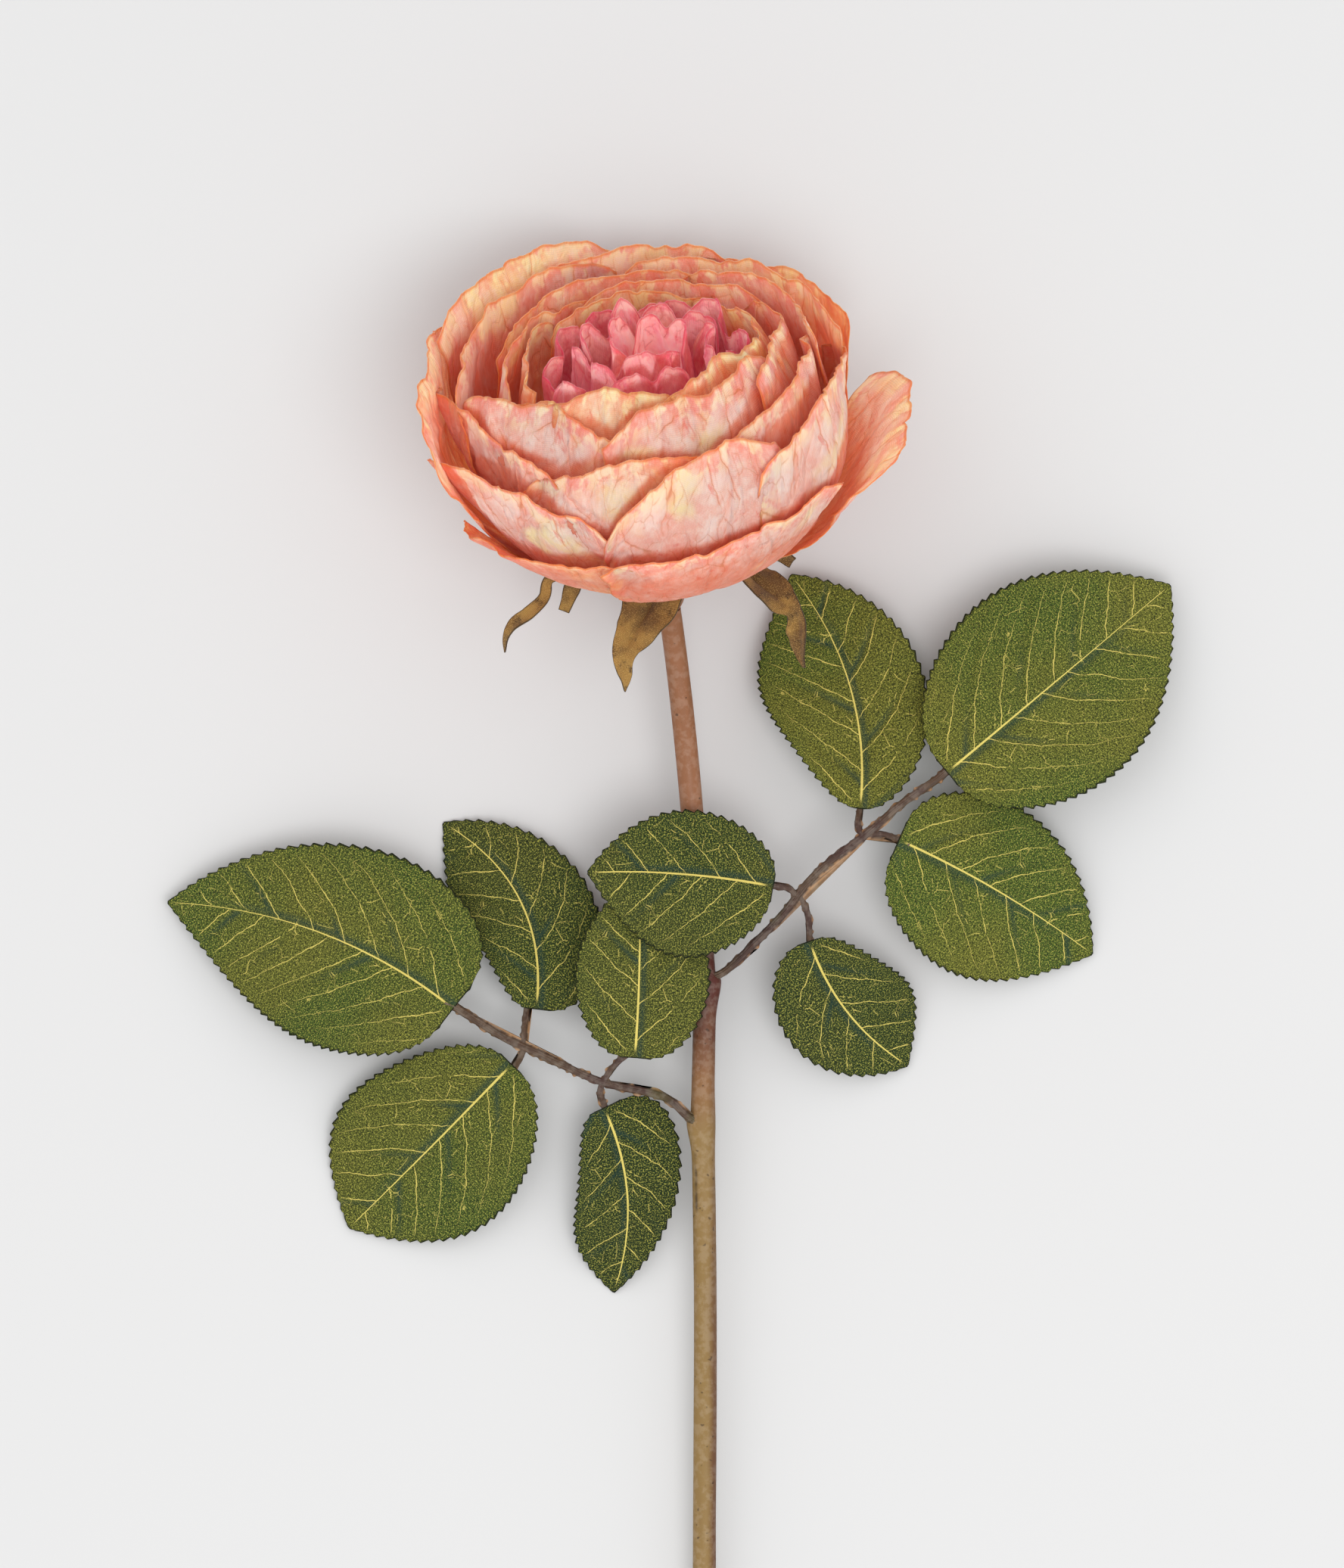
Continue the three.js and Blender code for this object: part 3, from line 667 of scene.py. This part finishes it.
def stem_material():
    """Moulded plastic: olive below, a dark red stretch between the nodes and pinkish tan above."""
    material, nodes, shader = start_material("stem plastic", 0.5)
    body = nodes.add("ShaderNodeTexCoord").outputs["Object"]
    parts = nodes.add("ShaderNodeSeparateXYZ", {0: body}).outputs
    blotch = nodes.cloud(body, 40.0, 4.0, 0.6)
    along = nodes.maths("MULTIPLY_ADD", blotch, 0.03, parts[1])
    tone = nodes.mix(nodes.span(along, 0.022, 0.046), colour("#7F653A"), colour("#7C5636"))
    tone = nodes.mix(nodes.span(along, 0.040, 0.060), tone, colour("#4A1E17"))
    tone = nodes.mix(nodes.span(along, 0.070, 0.10), tone, colour("#87593C"))
    streaks = nodes.stretched(body, (1, 0.05, 1))
    streak = nodes.span(nodes.cloud(streaks, 240.0, 4.0, 0.7), 0.40, 0.62)
    tone = nodes.tint(tone, streak, 0.16, colour("#5E4630"))
    bend = nodes.maths("MULTIPLY_ADD", blotch, 0.002, parts[0])
    flush_share = nodes.span(along, -0.05, 0.05, 0.75, 0.2)
    flush = nodes.maths("MULTIPLY", nodes.span(bend, 0.0102, 0.0122), flush_share)
    tone = nodes.mix(flush, tone, colour("#4E261E"))
    tone = nodes.tint(tone, nodes.attribute("scar"), 0.9, colour("#1E120E"))
    speckled(nodes, shader, tone, body, colour("#2C1D14"), 420.0)
    return material


STEM_PLASTIC = stem_material()
STEM_TAPER = 0.02
CUT_TO_LOWER = 238.7    # along the stem, from its cut end to its lower node
CUT_TO_UPPER = 272.8


def stem_radius(turn, distance, length):
    left, right = np.maximum(-np.cos(turn), 0), np.maximum(np.cos(turn), 0)
    below_lower, below_upper = CUT_TO_LOWER - distance, CUT_TO_UPPER - distance
    swell = 0.25 * np.exp(-(below_lower / 6) ** 2) + 0.2 * np.exp(-(below_upper / 5) ** 2)
    lower_lip = 1.0 * left * np.where(below_lower > 0, np.exp(-(below_lower / 5) ** 2),
                                      np.exp(-(below_lower / 1.2) ** 2))
    upper_lip = 1.3 * right ** 2 * np.where(below_upper > 0, np.exp(-(below_upper / 6) ** 2),
                                            np.exp(-(below_upper / 0.9) ** 2))
    uneven = 0.06 * noise(np.stack([6 * np.cos(turn), 6 * np.sin(turn), 0.2 * distance], axis=1), 2.6, 7)
    soft_end = -0.35 * (1 - smooth(distance / 0.7))
    ring = -0.12 * np.exp(-((distance - 296) / 0.5) ** 2)
    taper = 1 - STEM_TAPER * distance / length
    return STEM_RADIUS * taper + swell + lower_lip + upper_lip + uneven + soft_end + ring


def stem_scar(turn, distance):
    """A torn dark scar on the camera's side, just below the lower node."""
    along = smooth((distance - CUT_TO_LOWER + 22.5) / 2) * smooth((CUT_TO_LOWER - 7 - distance) / 2)
    across = np.exp(-((turn - math.radians(132)) / 0.13) ** 2)
    torn = smooth(0.75 + 1.3 * flat_noise(distance, turn * 3, 1.3, 31))
    return along * across * torn


def make_stem():
    piece = tube_piece("stem_rod", STEM_LINE, stem_radius, 48, 460, "scar", stem_scar)
    finish_piece(piece, "stem", STEM_PLASTIC, 40)


make_stem()

# ---------------------------------------------------------------- leaf stalks

ON_STEM = UPPER_NODE[2] + STEM_RADIUS + 0.4 + 1.5
ON_LEAFLET = ON_STEM + 0.8 + 1.8

# The rib of each stalk from the stem to the end leaflet, then its short branches; every one of them
# runs on a little way under its leaflet.
STALKS = {
    "leaf_stalk_left": ([
        [8.2, 12.8, 13.6], [4.4, 15.4, 14.3], [-0.5, 19.6, 13.9], [-16.5, 23.7, 14], [-29.2, 29.4, 13.6],
        [-40.3, 34.6, 13], [-48.6, 39.8, 12.3], [-51.6, 41.6, 11.9], [-54, 42.6, 12],
    ], [
        [[-15.9, 23.6, 14], [-13.6, 27, 15], [-11, 29.6, ON_STEM - 1.1], [-9, 31.2, ON_STEM - 1.2]],
        [[-15.9, 23.6, 14], [-16.5, 21.2, 13], [-15.4, 17.6, 10.4], [-14.6, 14.6, 10]],
        [[-35.2, 32, 13.3], [-34.8, 36, 12], [-34.3, 40.6, 9.2], [-34, 43, 8.6]],
        [[-35, 32, 13.3], [-35.6, 29.8, 12], [-37.2, 27.4, 9.5], [-39, 25.2, 9]],
    ]),
    "leaf_stalk_right": ([
        [9.8, 48.4, 14.2], [13.4, 50.2, 14.8], [20.3, 56.6, 15.6], [27.7, 64.3, 17], [35.4, 73.7, 18.2],
        [48.5, 84.1, 18.6], [56.1, 90.6, 18.4], [64.5, 96.5, 18], [67, 98.6, 17.6], [70, 101, 17.6],
    ], [
        [[31, 68.2, 17.4], [29, 70.2, 19], [25.6, 70.8, ON_LEAFLET - 0.9], [22.8, 71, ON_LEAFLET - 0.8]],
        [[31.4, 68.8, 17.4], [33.4, 64.4, 16], [34, 58, 13.6], [34.3, 55.4, 13]],
        [[46.6, 82.8, 18.6], [45.6, 85.6, 17.4], [46, 89.2, 15], [46.3, 92, 14.6]],
        [[47.2, 83.2, 18.6], [51, 83.4, 17.4], [55, 82.2, 15], [58, 80.8, 14.6]],
    ]),
}


def stalk_material():
    """Dark brown moulded plastic with long grooves, shaded by painted dark streaks along it, and pale crumbs
    of flash along its edges.
    """
    material, nodes, shader = start_material("stalk plastic", 0.55)
    place, body = nodes.places()
    tone = nodes.mix(nodes.span(nodes.cloud(body, 60.0), 0.4, 0.6), colour("#54402F"), colour("#46302A"))
    # Painted shade: long dark streaks along the stalk for the shade in its grooves.
    drawn = nodes.stretched(place, (1, 0.08, 1))
    grooves = nodes.span(nodes.cloud(drawn, 22.0, 3.0, 0.6), 0.42, 0.60)
    tone = nodes.tint(tone, grooves, 0.5, colour("#1E1511"))
    tone = nodes.tint(tone, nodes.attribute("flash"), 0.8, colour("#A67E56"))
    green = nodes.span(nodes.cloud(body, 45.0, 2.0), 0.58, 0.68)
    tone = nodes.tint(tone, green, 0.4, colour("#50501F"))
    speckled(nodes, shader, tone, body, colour("#2A1D18"), 700.0)
    return material


STALK_PLASTIC = stalk_material()


def flash_bite(turn, distance, seed):
    return np.clip(0.25 + 1.5 * flat_noise(distance, 3 * np.sign(np.cos(turn)), 1.0, seed), 0, 1.3)


def stalk_section(size, seed):
    """A moulded rib: grooves along its top and a thin ragged flash along both sides."""
    def radius(turn, distance, length):
        groove = 0.15 * size * (np.exp(-((turn - 1.2) / 0.16) ** 2) + np.exp(-((turn - 1.94) / 0.16) ** 2))
        edge = np.exp(-(np.sin(turn) / 0.2) ** 2)
        lumps = 0.07 * flat_noise(distance, turn, 1.4, seed + 1) + 0.05 * flat_noise(distance, turn, 5, seed)
        return size * (1.05 + lumps) - groove + 0.4 * edge * flash_bite(turn, distance, seed)
    return radius


def stalk_flash(seed):
    def mask(turn, distance):
        return np.exp(-(np.sin(turn) / 0.35) ** 2) * smooth(flash_bite(turn, distance, seed) - 0.35)
    return mask


def make_stalks():
    for seed, (name, (rib, petioles)) in enumerate(STALKS.items(), 3):
        branches = [tube_piece(name + "_rib", rib, stalk_section(STALK_RADIUS, seed), 36, 240,
                               "flash", stalk_flash(seed))]
        for number, points in enumerate(petioles):
            key = 20 + seed * 5 + number
            branches.append(tube_piece(f"{name}_petiole_{number}", points,
                                       stalk_section(PETIOLE_RADIUS, key), 28, 50,
                                       "flash", stalk_flash(key)))
        choose(*branches)
        bpy.ops.object.join()
        finish_piece(branches[0], name, STALK_PLASTIC, 50)


make_stalks()

# ---------------------------------------------------------------- leaflets

# Each leaflet is [base, tip, bow of its midrib to the left, rise, half widths of both sides, foot
# (a smaller one is a rounder base), point of both sides (a larger one stays wide nearer the tip)].
LEAFLETS = {
    "leaflet_left_1": ([-8.2, 29.4, ON_STEM], [-7.2, 74, ON_STEM], -0.6, 0.4, (15, 16.8), 0.36, (2.5, 2.5)),
    "leaflet_left_2": ([-15.6, 17.4, 11], [-13.3, -27.4, 0.6], 4.6, 2.4, (14, 12.6), 0.3, (1.0, 7)),
    "leaflet_left_3": ([-32, 41, 9.9], [-54.4, 86, 0.7], -8.2, 1.4, (14.6, 16.5), 0.36, (5, 1.6)),
    "leaflet_left_4": ([-37.8, 27.8, 10], [-77.2, -11.8, 0.7], 0.3, 2, (22.6, 22.4), 0.4, (3, 4.5)),
    "leaflet_left_5": ([-51.9, 41.2, 12.6], [-121, 66.8, 4], -6, 3.4, (25.4, 24.2), 0.3, (2.4, 1.6)),
    "leaflet_right_1": ([25.2, 70.7, ON_LEAFLET], [-19.5, 74.1, ON_LEAFLET], -1.3, 1.8, (19.6, 15.2), 0.4,
                        (2.5, 2.5)),
    "leaflet_right_2": ([34, 57.6, 14.2], [57.7, 27.4, 0.7], -3.4, 2.2, (15.4, 15.2), 0.4, (5, 2.2)),
    "leaflet_right_3": ([46.1, 89.4, 15.6], [29.5, 145.9, 5], -6, 0.5, (20.8, 17.6), 0.5, (3.8, 2)),
    "leaflet_right_4": ([55.4, 82, 15.8], [102.3, 54.3, 0.7], 1.6, 2, (19.6, 22.6), 0.3, (2.4, 3)),
    "leaflet_right_5": ([67, 98.2, 18.4], [121, 143.4, 6], 0, 3.6, (26, 26), 0.38, (2.5, 2.5)),
}
TOOTH_PITCH = 2.7
TOOTH_DEPTH = 0.85
VEIN_PITCH = 8.5        # from one side vein to the next, along the midrib
VEIN_SLOPE = 0.85       # how far a side vein runs forward for 1 mm outwards
VEIN_BEND = 0.010       # how much it bends forward on its way
LEAF_ROWS = 260
LEAF_COLUMNS = 48


def outline_side(half_width, foot, point, reach):
    """One side of the outline: its half width and its toothing at every row from base to tip."""
    v = np.clip(np.linspace(0, 1, LEAF_ROWS + 1), 0.0015, 1)
    width = v ** foot * (1 - v ** point)
    half = 0.25 + half_width * width / width.max()
    run_y, run_x = np.gradient(v * reach), np.gradient(half)
    step = np.maximum(np.hypot(run_x, run_y), 1e-6)
    phase = np.cumsum(step) / TOOTH_PITCH % 1
    tooth = TOOTH_DEPTH * (np.where(phase < 0.78, phase / 0.78, (1 - phase) / 0.22) - 0.5)
    tooth = tooth * np.clip(half / 5, 0.15, 1)
    return half, tooth * run_y / step, -tooth * run_x / step


def pressed_crease(x, y):
    """How near a point lies to a crease pressed beside a side vein, in millimetres."""
    line = y - VEIN_SLOPE * np.abs(x) - VEIN_BEND * x ** 2 + np.where(x < 0, VEIN_PITCH, 0) + 2.6
    pitch = 2 * VEIN_PITCH
    return np.abs((line / pitch + 0.5) % 1 - 0.5) * pitch


def leaflet_points(u, v, leaflet, seed):
    base, tip, bow, rise, halves, foot, ends = leaflet
    start, end = np.array(base, float), np.array(tip, float)
    run = end - start
    reach = np.linalg.norm(run)
    leftward = unit(np.array([-run[1], run[0], 0]))
    middle = (start + end) / 2 + 2 * bow * leftward
    middle[2] += 2 * rise
    t = np.clip(v, 0.002, 0.998)[:, None]
    midrib = (1 - t) ** 2 * start + 2 * t * (1 - t) * middle + t ** 2 * end
    tangent = unit(2 * (1 - t) * (middle - start) + 2 * t * (end - middle))
    across = unit(np.stack([tangent[:, 1], -tangent[:, 0], np.zeros(len(u))], axis=1))
    row = np.rint(v * LEAF_ROWS).astype(int)
    sides = [np.stack(outline_side(halves[k], foot, ends[k], reach))[:, row] for k in (0, 1)]
    half, tooth_x, tooth_y = np.where(u < 0, sides[0], sides[1])
    border = np.abs(u) ** 10
    x = u * half + np.sign(u) * tooth_x * border
    y = v * reach + tooth_y * border
    ahead = y - t[:, 0] * reach
    points = midrib + across * x[:, None] + tangent * ahead[:, None]

    away = pressed_crease(x, y)
    fade = smooth((half - np.abs(x)) / 8) * smooth(np.abs(x) / 2)
    relief = -0.45 * np.exp(-(away / 0.9) ** 2) * fade
    relief = relief - 0.55 * np.exp(-((x - 1.0) / 0.9) ** 2) * smooth((0.92 - v) / 0.3)
    between = np.cos(2 * math.pi * (y - VEIN_SLOPE * np.abs(x) - VEIN_BEND * x ** 2) / VEIN_PITCH)
    relief = relief + 0.10 * between * fade
    relief = relief + 1.1 * flat_noise(x, y, 18, seed) + 0.25 * flat_noise(x, y, 5, seed + 1)
    points[:, 2] += relief * smooth(v / 0.12) - 0.05 * half * u ** 2
    return points, x, y, half


def veins_mask(nodes, place, edge):
    """Printed veins in the leaf's own centimetres: midrib, side veins that bend forward, fine net."""
    drawn = nodes.warped(place, (0.26, 0.26, 0), 4.0, 0.6)
    parts = nodes.add("ShaderNodeSeparateXYZ", {0: drawn}).outputs
    flat = nodes.add("ShaderNodeSeparateXYZ", {0: place}).outputs
    out = nodes.maths("ABSOLUTE", parts[0])
    square = nodes.maths("MULTIPLY", out, out)
    lift = nodes.maths("MULTIPLY_ADD", out, -VEIN_SLOPE, parts[1])
    lift = nodes.maths("MULTIPLY_ADD", square, -10 * VEIN_BEND, lift)
    lift = nodes.maths("MULTIPLY_ADD", nodes.maths("MULTIPLY", square, square), -0.02, lift)
    odd = nodes.maths("MULTIPLY", nodes.maths("LESS_THAN", parts[0], 0.0), VEIN_PITCH / 20)
    phase = nodes.maths("FRACT", nodes.maths("DIVIDE", nodes.maths("ADD", lift, odd), VEIN_PITCH / 10))
    side = nodes.maths("MULTIPLY", nodes.maths("ABSOLUTE", nodes.maths("SUBTRACT", phase, 0.5)),
                       VEIN_PITCH / 10)
    thin = nodes.span(out, 0.1, 2.4, 0.014, 0.007)
    side_vein = nodes.maths("LESS_THAN", side, thin)
    core = nodes.maths("ABSOLUTE", flat[0])
    midrib = nodes.maths("LESS_THAN", core, nodes.span(flat[1], 0.0, 6.2, 0.026, 0.007))
    cells = nodes.add("ShaderNodeTexVoronoi", {"Vector": drawn, "Scale": 2.0}, feature="DISTANCE_TO_EDGE")
    net = nodes.maths("LESS_THAN", cells.outputs["Distance"], 0.010)
    broken = nodes.span(nodes.cloud(place, 2.2, 4.0, 0.7), 0.52, 0.58)
    net = nodes.maths("MULTIPLY", nodes.maths("MULTIPLY", net, broken), 0.60)
    kept = nodes.span(nodes.cloud(place, 2.6, 4.0, 0.7), 0.36, 0.50)
    side_veins = nodes.maths("MULTIPLY", side_vein, nodes.maths("MULTIPLY", kept, 0.85))
    veins = nodes.maths("MAXIMUM", side_veins, net)
    return nodes.maths("MULTIPLY", nodes.maths("MAXIMUM", veins, midrib), nodes.span(edge, 0.10, 0.35))


def leaf_material():
    """Printed leaf cloth: speckled olive green, pale veins, painted shade in the pressed creases and a dark
    cut edge.
    """
    material, nodes, shader = start_material("printed leaf cloth", 0.6)
    shader.inputs["Specular IOR Level"].default_value = 0.12
    place, body = nodes.places()
    edge = nodes.attribute("edge")
    veins = veins_mask(nodes, place, edge)

    base = nodes.mix(nodes.span(nodes.cloud(body, 30.0, 3.0, 0.5), 0.35, 0.65), colour("#3A4E1A"),
                     colour("#56581E"))
    base = nodes.mix(nodes.attribute("tone"), base, colour("#142612"))
    specks = nodes.span(nodes.cloud(place, 30.0, 2.0, 0.7), 0.51, 0.60)
    base = nodes.tint(base, specks, 0.72, colour("#A6A44A"))
    dark = nodes.span(nodes.cloud(place, 24.0, 3.0, 0.75, 0.4), 0.50, 0.58)
    base = nodes.tint(base, dark, 0.85, colour("#0D1607"))
    # Painted shade: dark teal along the pressed creases beside the side veins and in the groove beside the
    # midrib.
    base = nodes.tint(base, nodes.attribute("crease_shade"), 0.75, colour("#16322E"))
    tone = nodes.tint(base, veins, 0.90, colour("#D6C468"))
    rim = nodes.span(edge, 0.012, 0.045, 1.0, 0.0)
    tone = nodes.tint(tone, rim, 0.9, colour("#10150B"))
    nodes.feed(shader.inputs["Base Color"], tone)

    weave = weave_height(nodes, place, 9.0)
    raised = nodes.maths("MULTIPLY_ADD", veins, 0.5, weave)
    nodes.feed(shader.inputs["Normal"], nodes.bump(raised, 0.5, 0.00015))
    return material


LEAF_CLOTH = leaf_material()
# How much darker and bluer the cloth of each leaflet is.
LEAF_TONES = [0.50, 0.90, 0.70, 0.25, 0.20, 0.70, 0.80, 0.0, 0.0, 0.0]


def make_leaflets():
    for index, (name, leaflet) in enumerate(LEAFLETS.items()):
        piece, u, v = grid_piece(name + "_cloth", LEAF_COLUMNS, LEAF_ROWS)
        points, x, y, half = leaflet_points(u, v, leaflet, 500 + 10 * index)
        shape(piece, points, x, y)
        length = y.max()
        border = np.minimum((1 - np.abs(u)) * np.minimum(half, 14), np.minimum(v, 1 - v) * length)
        mark(piece, "edge", border / 10)
        # Where the shade is painted: along the pressed creases near the midrib, in patches, and in the groove
        # beside it.
        near = smooth(1 - np.abs(x) / 15) * np.exp(-(pressed_crease(x, y) / 1.0) ** 2)
        groove = np.exp(-((x - 1.1) / 0.8) ** 2) * smooth((0.9 - v) / 0.3)
        patchy = smooth(0.6 + 1.2 * flat_noise(x, y, 14, 700 + index))
        mark(piece, "crease_shade", np.maximum(near * patchy, 0.85 * groove))
        mark(piece, "tone", np.full(len(u), LEAF_TONES[index]))
        thicken(piece, LEAF_THICKNESS)
        finish_piece(piece, name, LEAF_CLOTH)


make_leaflets()

# ---------------------------------------------------------------- sepals and receptacle

# Each sepal is a withered strip: the points of its middle line, then its half width at each of them.
SEPALS = {
    "sepal_1": ([[-4, 144, 31], [-18, 146, 36], [-28.6, 144.6, 38.5], [-29.9, 140.3, 38.6],
                 [-33.6, 136.3, 39.2], [-37.3, 133.6, 38.8], [-38.8, 130.8, 38], [-39.2, 127, 37]],
                [1.5, 1.6, 1.2, 1.3, 1.7, 1.5, 0.9, 0.12]),
    "sepal_2": ([[-6, 146, 28], [-15, 147, 25], [-21.6, 145.4, 23], [-23.4, 142, 22.4], [-25.2, 136.9, 21.6]],
                [1.6, 2.2, 2.2, 2.0, 1.3]),
    "sepal_3": ([[-1.6, 146, 34], [-3.7, 142.5, 38], [-4.8, 137.9, 39.8], [-6.8, 134.5, 40.8],
                 [-8.2, 131.9, 41.2], [-10.3, 128.2, 41.6], [-11, 125, 41.4], [-10.3, 121.3, 40.8],
                 [-10.3, 117.4, 40]],
                [4, 8.8, 7.3, 5.5, 4.8, 3.4, 2.5, 1.6, 0.12]),
    "sepal_4": ([[6, 147, 36], [14, 149, 42], [18.4, 147, 44.5], [21.8, 143.8, 46], [27.2, 139.4, 47.2],
                 [30, 136.4, 47.6], [30.8, 131.6, 47.2], [31.2, 127.4, 46.6], [32.4, 123.2, 46]],
                [3, 5.5, 6.4, 5.6, 3.8, 2.0, 2.8, 2.2, 0.5]),
    "sepal_5": ([[8, 150, 30], [17, 152.6, 27], [24, 152, 25], [29.8, 148.6, 23.6]], [1.6, 2.2, 2.0, 1.5]),
}
# How far each sepal turns over on its way, in degrees.
SEPAL_TWISTS = {"sepal_1": 35, "sepal_2": 10, "sepal_3": -14, "sepal_4": 62, "sepal_5": 20}


def sepal_material():
    """Golden brown woven cloth, withered darker in patches and along its edges."""
    material, nodes, shader = start_material("sepal cloth", 0.7, 0.1)
    place, body = nodes.places()
    edge = nodes.attribute("edge")
    patches = nodes.span(nodes.cloud(body, 110.0, 4.0, 0.6), 0.38, 0.62)
    tone = nodes.mix(patches, colour("#A17C3E"), colour("#6A4C26"))
    dark = nodes.span(nodes.cloud(place, 2.4, 4.0, 0.7), 0.52, 0.68)
    tone = nodes.tint(tone, dark, 0.80, colour("#3A2412"))
    specks = nodes.span(nodes.cloud(place, 34.0, 2.0, 0.6), 0.50, 0.62)
    tone = nodes.tint(tone, specks, 0.40, colour("#D2AC68"))
    rim = nodes.span(edge, 0.0, 0.035, 1.0, 0.0)
    tone = nodes.tint(tone, rim, 0.8, colour("#2E2012"))
    weave = weave_height(nodes, place, 9.0)
    threads = nodes.span(weave, 0.0, 1.0, 0.72, 1.08)
    nodes.feed(shader.inputs["Base Color"], nodes.mix(1.0, tone, nodes.grey(threads), "MULTIPLY"))
    nodes.feed(shader.inputs["Normal"], nodes.bump(weave, 0.6, 0.0002))
    return material


SEPAL_CLOTH = sepal_material()
SEPAL_ROWS = 90


def sepal_points(u, v, name, seed):
    path, halves = SEPALS[name]
    line, side, top, length = path_frames(path, SEPAL_ROWS + 1)
    row = np.rint(v * SEPAL_ROWS).astype(int)
    gaps = np.linalg.norm(np.diff(np.array(path, float), axis=0), axis=1)
    stops = np.concatenate([[0], np.cumsum(gaps)]) / gaps.sum()
    y = v * length
    half = np.interp(v, stops, halves) * (1 + 0.10 * flat_noise(y, np.sign(u) * 3, 2.6, seed))
    x = u * half
    wave = np.sin(math.pi * v * 1.5) * smooth(v / 0.4)
    twist = math.radians(SEPAL_TWISTS[name]) * wave
    sag = -0.22 * half * np.exp(-(x / 1.1) ** 2) + 0.5 * flat_noise(x, y, 5, seed + 1)
    sag = sag + 0.22 * flat_noise(x, y, 1.8, seed + 2) + 0.14 * half * u ** 2
    across = side[row] * np.cos(twist)[:, None] + top[row] * np.sin(twist)[:, None]
    normal = top[row] * np.cos(twist)[:, None] - side[row] * np.sin(twist)[:, None]
    return line[row] + across * x[:, None] + normal * (sag * smooth(v / 0.15))[:, None], x, y


def make_sepals():
    for index, name in enumerate(SEPALS):
        piece, u, v = grid_piece(name + "_cloth", 28, SEPAL_ROWS)
        points, x, y = sepal_points(u, v, name, 900 + 10 * index)
        shape(piece, points, x, y)
        border = np.minimum((1 - np.abs(u)) * np.abs(x).max(), (1 - v) * y.max()) / 10
        mark(piece, "edge", border)
        thicken(piece, SEPAL_THICKNESS)
        finish_piece(piece, name, SEPAL_CLOTH)


make_sepals()

RECEPTACLE_PROFILE = [(-9.7, 2.8), (-8.6, 3.4), (-6.5, 4.2), (-4.7, 4.7), (-3.4, 4.9), (-2.6, 4.6),
                      (-2.4, 3.4), (0, 3.3), (12, 3.3), (22, 2.8), (22.8, 1.4)]


def make_receptacle():
    heights, radii = zip(*RECEPTACLE_PROFILE)
    ends = [HEAD_BASE + heights[0] * HEAD_AXIS, HEAD_BASE + (heights[0] + heights[-1]) / 2 * HEAD_AXIS,
            HEAD_BASE + heights[-1] * HEAD_AXIS]

    def radius(turn, distance, length):
        height = heights[0] + distance
        ribs = 0.08 * np.cos(10 * turn) * smooth((-3 - height) / 2)
        return np.interp(height, heights, radii) + ribs

    piece = tube_piece("receptacle_cone", ends, radius, 48, 90)
    finish_piece(piece, "receptacle", STEM_PLASTIC, 40)


make_receptacle()

# ---------------------------------------------------------------- stage, light and camera


def make_floor():
    choose()
    bpy.ops.mesh.primitive_plane_add(size=6, location=(0, 0, 0))
    floor = bpy.context.object
    floor.name = "floor"
    material = bpy.data.materials.new("pale floor")
    material.use_nodes = True
    shader = material.node_tree.nodes["Principled BSDF"]
    shader.inputs["Base Color"].default_value = (0.56, 0.56, 0.56, 1)
    shader.inputs["Roughness"].default_value = 0.9
    floor.data.materials.append(material)


def make_light(name, place, size, power, target=(0, 0.05, 0)):
    data = bpy.data.lights.new(name, "AREA")
    data.shape = "DISK"
    data.size = size
    data.energy = power
    light = bpy.data.objects.new(name, data)
    light.location = place
    direction = np.array(target) - np.array(place)
    light.rotation_euler = Vector(direction).to_track_quat("-Z", "Y").to_euler()
    bpy.context.scene.collection.objects.link(light)


def make_studio():
    make_floor()
    make_light("key light", (0.35, -0.35, 1.7), 1.2, 14)
    make_light("fill light", (-0.9, 0.6, 1.5), 1.6, 3)
    world = bpy.data.worlds.new("soft studio")
    world.use_nodes = True
    world.node_tree.nodes["Background"].inputs["Color"].default_value = (1, 1, 1, 1)
    world.node_tree.nodes["Background"].inputs["Strength"].default_value = 1.06
    bpy.context.scene.world = world
    bpy.context.scene.view_settings.view_transform = "Standard"


CAMERA_HEIGHT = 5.0
VIEW_HEIGHT = 0.3767
FOCUS_LEVEL = 0.03


def make_camera():
    data = bpy.data.cameras.new("camera")
    camera = bpy.data.objects.new("camera", data)
    bpy.context.scene.collection.objects.link(camera)
    camera.location = ((0.8 + SHIFT[0]) * MM, (95.4 + SHIFT[1]) * MM, CAMERA_HEIGHT)
    data.sensor_width = 36
    data.lens = 36 * (CAMERA_HEIGHT - FOCUS_LEVEL) / VIEW_HEIGHT
    data.dof.use_dof = False
    bpy.context.scene.camera = camera


make_studio()
make_camera()
